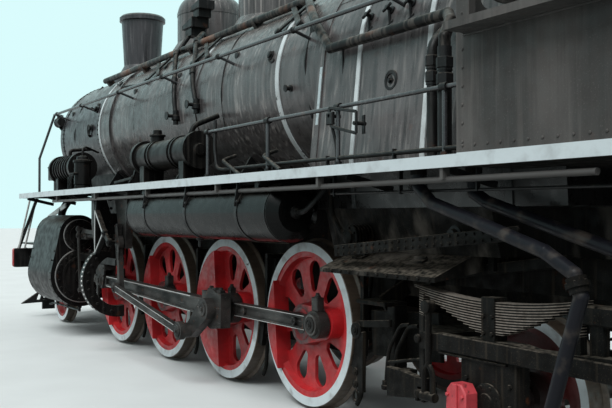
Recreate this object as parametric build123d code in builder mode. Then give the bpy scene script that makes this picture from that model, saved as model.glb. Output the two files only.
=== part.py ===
import os
from math import acos, atan2, cos, degrees, radians, sin, sqrt

from build123d import *

os.makedirs("parts", exist_ok=True)

# Steam locomotive of the 2-8-2 wheel arrangement, in millimetres.
# X runs forward, Y to the left and Z up. The lowest points are the flanges' tips.

# Overall
rear_reach = 9770.0
flange_height = 28.0
half_back_to_back = 676.5
tyre_width = 140.0
running_clearance = 0.3
fit_clearance = 0.05
seat_clearance = 0.6

# Coupled wheels
coupled_pitch = 1524.0
coupled_radius = 685.0
coupled_tyre_depth = 80.0
coupled_axle_radius = 95.0
hub_radius = 165.0
web_face = 722.0
web_thickness = 30.0
weight_face = 866.0
rim_depth = 46.0
hole_places = 9
hole_outer_radius = 84.0
hole_inner_radius = 46.0
hole_length = 262.0
hole_edge = 30.0
crank_radius = 355.0
left_crank_angle = 174.0
right_crank_angle = left_crank_angle - 90.0
main_pin_radius = 80.0
side_pin_radius = 62.0
main_axle_index = 2

# Planes of the rods, measured from the middle of the engine
coupling_rod_inner = 880.0
coupling_rod_width = 90.0
main_rod_inner = 1040.0
main_rod_width = 100.0
return_crank_width = 88.0
eccentric_rod_width = 56.0
pin_collar_width = 28.0

# Rods
coupling_rod_depth = 116.0
coupling_rod_flute = 22.0
main_rod_length = 3150.0
main_rod_front_depth = 120.0
main_rod_rear_depth = 165.0
main_rod_big_end = 185.0
main_rod_small_end = 100.0
main_rod_flange = 26.0
main_rod_flute = 30.0
wrist_pin_radius = 45.0
return_crank_length = 382.0
return_crank_turn = 150.5
return_crank_boss = 72.0
eccentric_rod_extra = 8.0
eccentric_rod_depth = 72.0

# Cylinders
cylinder_y = 1090.0
cylinder_z = 800.0
cylinder_casing_radius = 410.0
cylinder_length = 1185.0
dead_centre_gap = 6.0
cylinder_cover_radius = 345.0
cylinder_cover_depth = 42.0
valve_y = 1120.0
valve_z = 1335.0
valve_casing_radius = 268.0
valve_cover_radius = 205.0
piston_rod_radius = 50.0
piston_rod_reach = 1080.0
gland_radius = 105.0
gland_depth = 40.0
piston_collar = 30.0
saddle_bottom = 700.0

# Crosshead, its guide and the yoke
crosshead_length = 320.0
crosshead_cheek = 22.0
guide_bottom = 1000.0
guide_height = 95.0
guide_width = 110.0
guide_gap = 6.0
yoke_gap = 1435.0
yoke_thickness = 110.0
yoke_radius = 435.0
yoke_band = 130.0
yoke_y = 1100.0
yoke_z = 830.0
yoke_open_y = 1030.0

# Valve gear
link_gap = 515.0
link_z = 1290.0
link_foot_drop = 510.0
link_width = 66.0
valve_rod_radius = 32.0

# Frame
frame_inner = 460.0
frame_width = 116.0
frame_top = 1330.0
frame_bottom = 460.0
frame_front_bottom = 930.0
frame_front_top = 1150.0
frame_deep_rear = -5120.0
frame_rear = -9650.0
frame_rear_bottom = 1100.0
frame_rear_top = 1330.0
frame_nose_gap = 30.0
frame_slope = 200.0
frame_belly_gap = 175.0
deck_gap = 280.0
axle_box_length = 270.0
axle_box_height = 300.0
beam_gap = 890.0
beam_thickness = 90.0
beam_half_width = 1330.0
deck_half_width = 1180.0
beam_bottom = 780.0
beam_top = 1080.0
coupler_z = 880.0
coupler_reach = 530.0
coupler_head = 330.0
coupler_shank = 500.0
coupler_width = 210.0
coupler_height = 170.0
catcher_nose_reach = 480.0
catcher_head_reach = 200.0
catcher_corner_reach = 45.0
catcher_half_width = 1200.0
catcher_bottom = 200.0
catcher_top = 700.0
catcher_top_length = 460.0
catcher_plate = 20.0
catcher_bar = 44.0
catcher_slots = 8
catcher_slot_pitch = 112.0
guard_iron_reach = 205.0
guard_iron_y = 720.0
guard_iron_bottom = 75.0

# Boiler
boiler_z = 2760.0
smokebox_radius = 850.0
smokebox_shell = 20.0
smokebox_overhang = 680.0
smokebox_overlap = 35.0
barrel_front_radius = 872.0
barrel_rear_radius = 905.0
firebox_front = -4940.0
firebox_rear = -7560.0
firebox_radius = 930.0
firebox_bottom = 1640.0
firebox_side_y = 1010.0
firebox_side_z = 2000.0
barrel_middle = -1020.0
smokebox_door_radius = 655.0
smokebox_door_hole = 600.0
hinge_standoff = 44.0
hinge_pin_radius = 16.0
hinge_half_height = 345.0
lug_height = 48.0
strap_place = 255.0
strap_height = 70.0
chimney_setback = 1220.0
chimney_top = 4500.0
chimney_bore = 210.0
chimney_base = 420.0
sand_dome_x = -940.0
steam_dome_x = -2540.0
dome_top = 4330.0
dome_shoulder = 230.0
rail_y = 1020.0
rail_z = 3100.0
rail_setback = 270.0
rail_radius = 18.0
pipe_y = 620.0
pipe_radius = 38.0
pipe_front_gap = 480.0
pipe_drop_front = -4300.0
pipe_drop_rear = -5230.0
pipe_low_angle = 6.0
pipe_low_gap = 40.0
pipe_elbow_x = -6600.0
pipe_down_y = 1140.0
reach_rod_front = -3450.0
reach_rod_y = 1200.0
reach_rod_z = 2360.0
reach_rod_radius = 16.0
train_pipe_y = 1440.0
train_pipe_z = 1785.0
train_pipe_radius = 18.0
train_pipe_front = 840.0
train_pipe_rear = -8150.0
blow_pipe_radius = 38.0
ashpan_front = -5110.0
ashpan_rear = -6950.0
ash_plate_front = -5380.0
ash_plate_rear = -6690.0
ash_plate_out = 1190.0
ash_plate_low = 1175.0
ash_plate_lip = 30.0

# Running boards and cab
board_top = 1920.0
board_plate = 28.0
board_edge = 70.0
board_edge_width = 22.0
board_setback = 100.0
board_inner = 800.0
cab_half_width = 1490.0
cab_wall = 40.0
cab_front_x = -7240.0
cab_rear_x = -9350.0
cab_sill = 2600.0
cab_window_top = 3330.0
cab_eaves = 3520.0
cab_roof_top = 4020.0
cab_roof_overhang = 330.0
cab_shelf = 160.0
step_x = -8930.0
step_length = 380.0
step_depth = 200.0
step_plate = 26.0
step_bottom = 560.0

# Tanks and pumps
tank_y = 1250.0
tank_z = 1612.0
tank_radius = 230.0
pump_y = 1200.0

# Trucks
leading_axle_gap = 710.0
leading_radius = 420.0
leading_arm_length = 1210.0
trailing_axle_x = -7060.0
trailing_bar_front = 630.0
trailing_bar_rear = 1090.0
pedestal_half = 230.0
pedestal_bottom = 330.0
spring_half = 690.0
spring_top = 1085.0
spring_rise = 60.0
spring_leaves = 12
leaf_pitch = 15.5
leaf_step = 52.0
trailing_radius = 500.0
trailing_pivot_x = -5480.0
truck_tyre_depth = 65.0
truck_axle_radius = 80.0
truck_pin_radius = 45.0
leading_arm_bottom = 550.0
leading_arm_thickness = 90.0
trailing_arm_bottom = 745.0
trailing_arm_thickness = 90.0
truck_bar_inner = 1000.0
truck_bar_width = 100.0

# Brakes and drawbar
brake_hanger_top = 1240.0
shoe_depth = 70.0
shoe_gap = 8.0
shoe_angle = 188.0
brake_beam_drop = 20.0
drawbar_z = 1000.0
drawbar_pin_radius = 45.0

# Worked out from the sizes above. Distances count from the leading coupled axle, forward.
front_dead_centre = crank_radius + main_rod_length - coupled_pitch * main_axle_index
gland_face = front_dead_centre + crosshead_length / 2 + piston_collar + dead_centre_gap
cylinder_rear = gland_face + gland_depth + cylinder_cover_depth
cylinder_front = cylinder_rear + cylinder_length
yoke_x = cylinder_rear - yoke_gap
link_x = yoke_x - link_gap
eccentric_rod_length = link_x + coupled_pitch * main_axle_index + eccentric_rod_extra
leading_axle_x = cylinder_front + leading_axle_gap
leading_pivot_x = leading_axle_x - leading_arm_length
smokebox_front = cylinder_front + smokebox_overhang
smokebox_rear = cylinder_rear - smokebox_overlap
chimney_x = smokebox_front - chimney_setback
board_front = smokebox_front - board_setback
rail_front = smokebox_front - rail_setback
beam_x = leading_axle_x + beam_gap
front_reach = beam_x + coupler_reach
catcher_nose = beam_x + catcher_nose_reach
catcher_head = beam_x + catcher_head_reach
catcher_corner = beam_x + catcher_corner_reach
guard_iron_x = beam_x + guard_iron_reach
# x_at gives the place of such a distance, and z_at that of a height above the rail.
first_axle_x = (rear_reach - front_reach) / 2


def x_at(distance):
    return first_axle_x + distance


def z_at(height):
    return flange_height + height


coupled_axles = [x_at(-coupled_pitch * index) for index in range(4)]
coupled_axle_z = z_at(coupled_radius)
tyre_face = half_back_to_back + tyre_width
main_axle_x = coupled_axles[main_axle_index]
coupling_rod_outer = coupling_rod_inner + coupling_rod_width
main_rod_outer = main_rod_inner + main_rod_width
return_crank_inner = main_rod_outer + running_clearance
return_crank_outer = return_crank_inner + return_crank_width
eccentric_rod_inner = return_crank_outer + running_clearance
crank_angles = {1: left_crank_angle, -1: right_crank_angle}
side_names = {1: "left", -1: "right"}


def crank_pin(side):
    # Offset of a crank pin from its axle, forward and up.
    angle = radians(crank_angles[side])
    return crank_radius * cos(angle), crank_radius * sin(angle)


def wrist_pin_x(side):
    pin_x, pin_z = crank_pin(side)
    rise = z_at(cylinder_z) - (coupled_axle_z + pin_z)
    return main_axle_x + pin_x + sqrt(main_rod_length**2 - rise**2)


def side_plane(side, y, x=0.0, z=0.0, turn=0.0):
    # An upright plane on one side: its own x runs forward, raised by turn, and its own y runs up.
    forward = (cos(radians(turn)), 0, sin(radians(turn)))
    return Plane(origin=(x, side * y, z), x_dir=forward, z_dir=(0, -1, 0))


def outward(side, width):
    # The extrusion that carries a side_plane sketch outward by width.
    return -side * width


def tube(points, radius):
    # Straight runs of pipe between the points, with a ball at each bend.
    with BuildPart() as runs:
        for start, end in zip(points, points[1:]):
            run = Vector(*end) - Vector(*start)
            with BuildSketch(Plane(origin=start, z_dir=run)):
                Circle(radius)
            extrude(amount=run.length)
        for point in points[1:-1]:
            with Locations(point):
                Sphere(radius + 1)
    return runs.part


def teardrop(far, near):
    # A wheel's hole: two circles on its own x and the lines that touch both.
    with BuildSketch() as hole:
        with Locations((far, 0)):
            Circle(hole_outer_radius)
        with Locations((near, 0)):
            Circle(hole_inner_radius)
        make_hull()
    return hole.sketch


# Both wheels and their axle: half a section, revolved about the axle
def wheel_pair(axle_x, radius, depth, axle_radius, hub, rim, hub_face):
    bore = radius - depth
    section = [
        (0, 0),
        (0, axle_radius),
        (half_back_to_back - 14, axle_radius),
        (half_back_to_back - 14, hub),
        (web_face, hub + 20),
        (web_face, bore - rim - 14),
        (half_back_to_back + 12, bore - rim),
        (half_back_to_back + 12, bore),
        (half_back_to_back, bore),
        (half_back_to_back, radius + flange_height - 8),
        (half_back_to_back + 8, radius + flange_height),
        (half_back_to_back + 20, radius + flange_height),
        (half_back_to_back + 34, radius + 2),
        (tyre_face - 6, radius),
        (tyre_face, radius - 6),
        (tyre_face, bore),
        (tyre_face - 10, bore),
        (tyre_face - 10, bore - rim),
        (web_face + web_thickness, bore - rim - 14),
        (web_face + web_thickness, hub + 20),
        (hub_face, hub),
        (hub_face, 0),
    ]
    with BuildPart() as centres:
        for side in (1, -1):
            points = [(side * y, z_at(radius) + r) for y, r in section]
            with BuildSketch(Plane.YZ.offset(axle_x)):
                with BuildLine():
                    Polyline(*points, close=True)
                make_face()
            revolve(axis=Axis((axle_x, 0, z_at(radius)), (0, 1, 0)))
    return centres.part


# Counterweight chord's distance from the axle, pin radius and the pin's outer end for each axle
driver_table = [
    (330.0, side_pin_radius, coupling_rod_outer),
    (330.0, side_pin_radius, coupling_rod_outer),
    (110.0, main_pin_radius, main_rod_inner - running_clearance),
    (440.0, side_pin_radius, coupling_rod_outer),
]

for index, (weight_chord, pin_radius, pin_end) in enumerate(driver_table):
    axle_x = coupled_axles[index]
    bore = coupled_radius - coupled_tyre_depth
    centres = wheel_pair(
        axle_x, coupled_radius, coupled_tyre_depth, coupled_axle_radius, hub_radius, rim_depth, weight_face
    )
    with BuildPart() as driver:
        add(centres)
        for side in (1, -1):
            angle = crank_angles[side]
            pin_x, pin_z = crank_pin(side)
            # teardrop holes through the web, wide end outward
            hole_far = bore - rim_depth - hole_edge - hole_outer_radius
            hole_near = hole_far + hole_outer_radius + hole_inner_radius - hole_length
            with BuildSketch(side_plane(side, half_back_to_back - 40, axle_x, coupled_axle_z)):
                for place in range(1, hole_places):
                    away = 360 / hole_places * place
                    # none wholly behind the counterweight
                    if hole_far * cos(radians(180 - away)) > weight_chord + hole_outer_radius:
                        continue
                    with Locations(Location((0, 0, 0), (0, 0, angle + away))):
                        add(teardrop(hole_far, hole_near))
            extrude(amount=outward(side, tyre_width), mode=Mode.SUBTRACT)
            # counterweight, a segment of the rim opposite the pin
            with BuildSketch(side_plane(side, web_face, axle_x, coupled_axle_z)):
                Circle(bore - rim_depth / 2)
                with Locations(Location((0, 0, 0), (0, 0, angle))):
                    with Locations((-weight_chord + coupled_radius, 0)):
                        Rectangle(2 * coupled_radius, 2 * coupled_radius, mode=Mode.SUBTRACT)
            extrude(amount=outward(side, weight_face - web_face))
            # crank boss and pin
            with BuildSketch(side_plane(side, web_face, axle_x, coupled_axle_z)):
                Circle(hub_radius)
                with Locations((pin_x, pin_z)):
                    Circle(pin_radius + 62)
                make_hull()
            extrude(amount=outward(side, weight_face - web_face))
            with BuildSketch(side_plane(side, weight_face, axle_x + pin_x, coupled_axle_z + pin_z)):
                Circle(pin_radius)
            extrude(amount=outward(side, pin_end - weight_face))
            if index != main_axle_index:
                pin_place = (axle_x + pin_x, coupled_axle_z + pin_z)
                with BuildSketch(side_plane(side, coupling_rod_outer, *pin_place)):
                    Circle(pin_radius)
                extrude(amount=outward(side, running_clearance))
                with BuildSketch(side_plane(side, coupling_rod_outer + running_clearance, *pin_place)):
                    Circle(pin_radius + 22)
                extrude(amount=outward(side, pin_collar_width))
    driver.part.label = f"driver_{index + 1}"
    export_step(driver.part, f"parts/driver_{index + 1}.step")

# Return cranks, fixed to the main crank pins outside the main rods
return_crank_ends = {}
with BuildPart() as return_cranks:
    for side in (1, -1):
        pin_x, pin_z = crank_pin(side)
        turn = radians(crank_angles[side] + return_crank_turn)
        end_x = pin_x + return_crank_length * cos(turn)
        end_z = pin_z + return_crank_length * sin(turn)
        return_crank_ends[side] = (main_axle_x + end_x, coupled_axle_z + end_z)
        with BuildSketch(side_plane(side, return_crank_inner, main_axle_x, coupled_axle_z)):
            with Locations((pin_x, pin_z)):
                Circle(main_pin_radius + 25)
            with Locations((end_x, end_z)):
                Circle(return_crank_boss)
            make_hull()
        extrude(amount=outward(side, return_crank_width))
return_cranks.part.label = "return_cranks"
export_step(return_cranks.part, "parts/return_cranks.step")

# Coupling rods, one for each side, carried by the four pins
for side in (1, -1):
    pin_x, pin_z = crank_pin(side)
    rod_z = coupled_axle_z + pin_z
    with BuildPart() as coupling_rod:
        with BuildSketch(side_plane(side, coupling_rod_inner, 0, rod_z)):
            with Locations(((coupled_axles[0] + coupled_axles[3]) / 2 + pin_x, 0)):
                Rectangle(coupled_axles[0] - coupled_axles[3], coupling_rod_depth)
            for index, axle_x in enumerate(coupled_axles):
                boss = main_pin_radius + 62 if index == main_axle_index else side_pin_radius + 50
                with Locations((axle_x + pin_x, 0)):
                    Circle(boss)
        extrude(amount=outward(side, coupling_rod_width))
        # oil cups over the pins
        for index, axle_x in enumerate(coupled_axles):
            boss = main_pin_radius + 62 if index == main_axle_index else side_pin_radius + 50
            rod_y = side * (coupling_rod_inner + coupling_rod_width / 2)
            with Locations((axle_x + pin_x, rod_y, rod_z + boss + 16)):
                Box(60, coupling_rod_width * 0.6, 62)
        # flutes in the outer face, and the bores
        with BuildSketch(side_plane(side, coupling_rod_outer - coupling_rod_flute, 0, rod_z)):
            for index in range(3):
                middle = (coupled_axles[index] + coupled_axles[index + 1]) / 2 + pin_x
                with Locations((middle, 0)):
                    Rectangle(coupled_pitch - 2 * (main_pin_radius + 62) - 60, coupling_rod_depth - 44)
        extrude(amount=outward(side, coupling_rod_flute), mode=Mode.SUBTRACT)
        with BuildSketch(side_plane(side, coupling_rod_inner, 0, rod_z)):
            for index, axle_x in enumerate(coupled_axles):
                bore = main_pin_radius if index == main_axle_index else side_pin_radius
                with Locations((axle_x + pin_x, 0)):
                    Circle(bore + running_clearance)
        extrude(amount=outward(side, coupling_rod_width), mode=Mode.SUBTRACT)
    coupling_rod.part.label = f"coupling_rod_{side_names[side]}"
    export_step(coupling_rod.part, f"parts/coupling_rod_{side_names[side]}.step")

# Main rods, opened at their crank pins
for side in (1, -1):
    pin_x, pin_z = crank_pin(side)
    small_x = wrist_pin_x(side)
    small_z = z_at(cylinder_z)
    big_x = main_axle_x + pin_x
    big_z = coupled_axle_z + pin_z
    tilt = degrees(atan2(small_z - big_z, small_x - big_x))
    with BuildPart() as main_rod:
        with BuildSketch(side_plane(side, main_rod_inner, big_x, big_z, tilt)):
            with BuildLine():
                Polyline(
                    (0, -main_rod_rear_depth / 2),
                    (main_rod_length, -main_rod_front_depth / 2),
                    (main_rod_length, main_rod_front_depth / 2),
                    (0, main_rod_rear_depth / 2),
                    close=True,
                )
            make_face()
            Rectangle(main_rod_big_end * 2 + 40, main_rod_big_end * 1.7)
            Circle(main_rod_big_end)
            with Locations((main_rod_length, 0)):
                Circle(main_rod_small_end)
        extrude(amount=outward(side, main_rod_width))
        # a flute in each face
        flute_rear = main_rod_big_end + 110
        flute_front = main_rod_length - main_rod_small_end - 60
        for face_y, direction in ((main_rod_outer, -1), (main_rod_inner, 1)):
            with BuildSketch(side_plane(side, face_y, big_x, big_z, tilt)):
                with BuildLine():
                    Polyline(
                        (flute_rear, main_rod_flange - main_rod_rear_depth / 2),
                        (flute_front, main_rod_flange - main_rod_front_depth / 2),
                        (flute_front, main_rod_front_depth / 2 - main_rod_flange),
                        (flute_rear, main_rod_rear_depth / 2 - main_rod_flange),
                        close=True,
                    )
                make_face()
            extrude(amount=outward(side, direction * main_rod_flute), mode=Mode.SUBTRACT)
        with BuildSketch(side_plane(side, main_rod_inner, small_x, small_z)):
            Circle(wrist_pin_radius + running_clearance)
        extrude(amount=outward(side, main_rod_width), mode=Mode.SUBTRACT)
    main_rod.part.label = f"main_rod_{side_names[side]}"
    export_step(main_rod.part, f"parts/main_rod_{side_names[side]}.step")

# Crossheads with their wrist pins and piston rods
crosshead_inner = main_rod_inner - running_clearance * 8 - crosshead_cheek
crosshead_outer = main_rod_outer + running_clearance * 8 + crosshead_cheek
for side in (1, -1):
    pin_x = wrist_pin_x(side)
    pin_z = z_at(cylinder_z)
    with BuildPart() as crosshead:
        with BuildSketch(side_plane(side, crosshead_inner, pin_x, pin_z)):
            with BuildLine():
                Polyline(
                    (-crosshead_length / 2, 110),
                    (-80, -95),
                    (100, -95),
                    (crosshead_length / 2, -60),
                    (crosshead_length / 2, 60),
                    (crosshead_length / 2, z_at(guide_bottom) - pin_z - guide_gap),
                    (-crosshead_length / 2, z_at(guide_bottom) - pin_z - guide_gap),
                    close=True,
                )
            make_face()
        extrude(amount=outward(side, crosshead_outer - crosshead_inner))
        # the slot that the main rod's small end swings in
        with BuildSketch(side_plane(side, crosshead_inner + crosshead_cheek, pin_x, pin_z)):
            with Locations((-crosshead_length, 0)):
                Rectangle(2 * crosshead_length + 2 * main_rod_small_end + 30, 2 * main_rod_small_end + 60)
        slot_width = crosshead_outer - crosshead_inner - 2 * crosshead_cheek
        extrude(amount=outward(side, slot_width), mode=Mode.SUBTRACT)
        with BuildSketch(side_plane(side, crosshead_inner, pin_x, pin_z)):
            Circle(wrist_pin_radius)
        extrude(amount=outward(side, crosshead_outer - crosshead_inner))
        with BuildSketch(Plane.YZ.offset(pin_x + crosshead_length / 2)):
            with Locations((side * cylinder_y, pin_z)):
                Circle(piston_rod_radius)
        extrude(amount=piston_rod_reach - crosshead_length / 2)
        with BuildSketch(Plane.YZ.offset(pin_x + crosshead_length / 2)):
            with Locations((side * cylinder_y, pin_z)):
                Circle(piston_rod_radius + 24)
        extrude(amount=piston_collar)
    crosshead.part.label = f"crosshead_{side_names[side]}"
    export_step(crosshead.part, f"parts/crosshead_{side_names[side]}.step")

# Cylinders with their valve chests
for side in (1, -1):
    with BuildPart() as cylinder:
        with BuildSketch(Plane.YZ.offset(x_at(cylinder_rear))):
            with Locations((side * cylinder_y, z_at(cylinder_z))):
                Circle(cylinder_casing_radius)
            with Locations((side * valve_y, z_at(valve_z))):
                Circle(valve_casing_radius)
            make_hull()
        extrude(amount=cylinder_front - cylinder_rear)
        for start, amount in ((cylinder_rear, -cylinder_cover_depth), (cylinder_front, cylinder_cover_depth)):
            with BuildSketch(Plane.YZ.offset(x_at(start))):
                with Locations((side * cylinder_y, z_at(cylinder_z))):
                    Circle(cylinder_cover_radius)
                with Locations((side * valve_y, z_at(valve_z))):
                    Circle(valve_cover_radius)
            extrude(amount=amount)
        with BuildSketch(Plane.YZ.offset(x_at(cylinder_rear) - cylinder_cover_depth)):
            with Locations((side * cylinder_y, z_at(cylinder_z))):
                Circle(gland_radius)
            with Locations((side * valve_y, z_at(valve_z))):
                Circle(valve_rod_radius + 30)
        extrude(amount=-gland_depth)
        # bores for the piston rod and the valve stem
        with BuildSketch(Plane.YZ.offset(x_at(cylinder_rear) - cylinder_cover_depth - gland_depth)):
            with Locations((side * cylinder_y, z_at(cylinder_z))):
                Circle(piston_rod_radius + running_clearance)
        extrude(amount=cylinder_front - cylinder_rear, mode=Mode.SUBTRACT)
        with BuildSketch(Plane.YZ.offset(x_at(cylinder_rear) - cylinder_cover_depth - gland_depth)):
            with Locations((side * valve_y, z_at(valve_z))):
                Circle(valve_rod_radius + fit_clearance)
        extrude(amount=gland_depth + cylinder_cover_depth, mode=Mode.SUBTRACT)
    cylinder.part.label = f"cylinder_{side_names[side]}"
    export_step(cylinder.part, f"parts/cylinder_{side_names[side]}.step")

# Saddle between the cylinders, shaped to the smokebox above
saddle_half_width = cylinder_y - cylinder_casing_radius * 0.82
with BuildPart() as saddle:
    with BuildSketch(Plane.YZ.offset(x_at(cylinder_rear + 90))):
        with BuildLine():
            Polyline(
                (-saddle_half_width, z_at(saddle_bottom)),
                (saddle_half_width, z_at(saddle_bottom)),
                (saddle_half_width, z_at(valve_z - 60)),
                (560, z_at(valve_z + 230)),
                (620, z_at(2230)),
                (-620, z_at(2230)),
                (-560, z_at(valve_z + 230)),
                (-saddle_half_width, z_at(valve_z - 60)),
                close=True,
            )
        make_face()
    extrude(amount=cylinder_front - cylinder_rear - 180)
    for side in (1, -1):
        with BuildSketch(Plane.YZ.offset(x_at(cylinder_rear))):
            with Locations((side * cylinder_y, z_at(cylinder_z))):
                Circle(cylinder_casing_radius + fit_clearance)
            with Locations((side * valve_y, z_at(valve_z))):
                Circle(valve_casing_radius + fit_clearance)
            make_hull()
        extrude(amount=cylinder_front - cylinder_rear, mode=Mode.SUBTRACT)
    with BuildSketch(Plane.YZ.offset(x_at(cylinder_rear))):
        with Locations((0, z_at(boiler_z))):
            Circle(smokebox_radius + fit_clearance)
    extrude(amount=cylinder_front - cylinder_rear, mode=Mode.SUBTRACT)
    # room for the frame bars
    with BuildSketch(Plane.YZ.offset(x_at(cylinder_rear))):
        for side in (1, -1):
            with Locations((side * (frame_inner + frame_width / 2), z_at(frame_top / 2 + 200))):
                Rectangle(frame_width, frame_top - 400)
    extrude(amount=cylinder_front - cylinder_rear, mode=Mode.SUBTRACT)
    # pin that the leading truck swivels on, with its washer below
    with BuildSketch(Plane.XY.offset(z_at(leading_arm_bottom - 8))):
        with Locations((x_at(leading_pivot_x), 0)):
            Circle(truck_pin_radius)
    extrude(amount=saddle_bottom - leading_arm_bottom + 8)
    with BuildSketch(Plane.XY.offset(z_at(leading_arm_bottom - 38))):
        with Locations((x_at(leading_pivot_x), 0)):
            Circle(truck_pin_radius + 30)
    extrude(amount=30)
saddle.part.label = "cylinder_saddle"
export_step(saddle.part, "parts/cylinder_saddle.step")

# Bar frames with a window for each axle box and slots between them
for side in (1, -1):
    with BuildPart() as frame_side:
        with BuildSketch(side_plane(side, frame_inner)):
            with BuildLine():
                Polyline(
                    (x_at(beam_x), z_at(frame_front_bottom)),
                    (x_at(beam_x), z_at(frame_front_top)),
                    (x_at(cylinder_front + frame_nose_gap + frame_slope), z_at(frame_front_top)),
                    (x_at(cylinder_front + frame_nose_gap), z_at(frame_top)),
                    (x_at(frame_rear), z_at(frame_rear_top)),
                    (x_at(frame_rear), z_at(frame_rear_bottom)),
                    (x_at(frame_deep_rear - 380), z_at(frame_rear_bottom)),
                    (x_at(frame_deep_rear), z_at(frame_bottom + 60)),
                    (x_at(frame_deep_rear + 150), z_at(frame_bottom)),
                    (x_at(cylinder_rear - frame_belly_gap), z_at(frame_bottom)),
                    (x_at(cylinder_rear - frame_belly_gap + frame_slope), z_at(frame_front_bottom - 200)),
                    (x_at(cylinder_front + frame_nose_gap), z_at(frame_front_bottom)),
                    close=True,
                )
            make_face()
            for axle_x in coupled_axles:
                with Locations((axle_x, coupled_axle_z)):
                    Rectangle(axle_box_length, axle_box_height, mode=Mode.SUBTRACT)
            for index in range(3):
                with Locations((coupled_axles[index] - coupled_pitch / 2, z_at(820))):
                    Rectangle(coupled_pitch - axle_box_length - 300, 420, mode=Mode.SUBTRACT)
        extrude(amount=outward(side, frame_width))
    frame_side.part.label = f"frame_{side_names[side]}"
    export_step(frame_side.part, f"parts/frame_{side_names[side]}.step")

# Cross members between the bars: place, length, bottom and top
crosstie_table = [
    (cylinder_rear - 115, 120, 1060, frame_top),
    (-coupled_pitch * 0.5, 110, 1100, frame_top),
    (-coupled_pitch * 1.5, 110, 1100, frame_top),
    (-coupled_pitch * 2.5, 110, 1100, frame_top),
    (frame_deep_rear + 90, 140, 860, frame_top),
    (frame_rear + 250, 380, frame_rear_bottom, frame_rear_top),
    (cylinder_front + deck_gap, 120, frame_front_bottom, frame_front_top),
]
with BuildPart() as crossties:
    for place, length, low, high in crosstie_table:
        with BuildSketch(Plane.YZ.offset(x_at(place) - length / 2)):
            with Locations((0, z_at((low + high) / 2))):
                Rectangle(2 * frame_inner, high - low)
        extrude(amount=length)
    # bracket and pin that the trailing truck swivels on
    pivot_head = trailing_arm_bottom + trailing_arm_thickness + 12
    with BuildSketch(Plane.XY.offset(z_at(pivot_head))):
        with Locations((x_at((frame_deep_rear + 160 + trailing_pivot_x - 100) / 2), 0)):
            Rectangle(frame_deep_rear + 160 - trailing_pivot_x + 100, 380)
    extrude(amount=100)
    with BuildSketch(Plane.XY.offset(z_at(trailing_arm_bottom - 8))):
        with Locations((x_at(trailing_pivot_x), 0)):
            Circle(truck_pin_radius)
    extrude(amount=pivot_head - trailing_arm_bottom + 8)
    with BuildSketch(Plane.XY.offset(z_at(trailing_arm_bottom - 38))):
        with Locations((x_at(trailing_pivot_x), 0)):
            Circle(truck_pin_radius + 30)
    extrude(amount=30)
crossties.part.label = "frame_crossties"
export_step(crossties.part, "parts/frame_crossties.step")

# Axle boxes fill the frames' windows
with BuildPart() as axle_boxes:
    for side in (1, -1):
        for axle_x in coupled_axles:
            with BuildSketch(side_plane(side, frame_inner, axle_x, coupled_axle_z)):
                Rectangle(axle_box_length, axle_box_height)
                Circle(coupled_axle_radius + running_clearance, mode=Mode.SUBTRACT)
            extrude(amount=outward(side, frame_width))
axle_boxes.part.label = "axle_boxes"
export_step(axle_boxes.part, "parts/axle_boxes.step")

# Front beam, coupler and deck
with BuildPart() as front_beam:
    with BuildSketch(Plane.YZ.offset(x_at(beam_x))):
        with Locations((0, z_at((beam_bottom + beam_top) / 2))):
            RectangleRounded(2 * beam_half_width, beam_top - beam_bottom, 40)
        with Locations((0, z_at(coupler_z))):
            Rectangle(coupler_width, coupler_height, mode=Mode.SUBTRACT)
    extrude(amount=beam_thickness)
front_beam.part.label = "front_beam"
export_step(front_beam.part, "parts/front_beam.step")

# Cowcatcher: two slatted wings that meet in a point, with guard irons over the rails
with BuildPart() as cowcatcher:
    for side in (1, -1):
        nose = Vector(x_at(catcher_nose), 0, z_at(catcher_bottom))
        corner = Vector(x_at(catcher_corner), side * catcher_half_width, z_at(catcher_bottom))
        head = Vector(x_at(catcher_head), 0, z_at(catcher_top))
        along = (corner - nose).normalized()
        wing = Plane(origin=nose, x_dir=along, z_dir=along.cross(head - nose))
        bottom_length = (corner - nose).length
        head_x = (head - nose).dot(along)
        head_y = (head - nose).dot(wing.y_dir)
        outer_x = head_x + catcher_top_length
        with BuildSketch(wing):
            with BuildLine():
                Polyline((0, 0), (bottom_length, 0), (outer_x, head_y), (head_x, head_y), close=True)
            make_face()
            for slot in range(catcher_slots):
                slot_x = head_x + catcher_bar + catcher_slot_pitch * (slot + 0.5)
                slope = (bottom_length - slot_x - catcher_bar) / (bottom_length - outer_x)
                slot_top = head_y * min(1, slope) - catcher_bar
                with Locations((slot_x, (catcher_bar + slot_top) / 2)):
                    Rectangle(catcher_slot_pitch - catcher_bar, slot_top - catcher_bar, mode=Mode.SUBTRACT)
        extrude(amount=-side * catcher_plate)
        with Locations((x_at(guard_iron_x), side * guard_iron_y, z_at((guard_iron_bottom + 260) / 2))):
            Box(50, 200, 260 - guard_iron_bottom)
        with Locations((x_at(catcher_corner), side * 405, z_at((catcher_top - 80 + beam_bottom) / 2))):
            Box(50, 60, beam_bottom - catcher_top + 80)
cowcatcher.part.label = "cowcatcher"
export_step(cowcatcher.part, "parts/cowcatcher.step")

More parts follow.
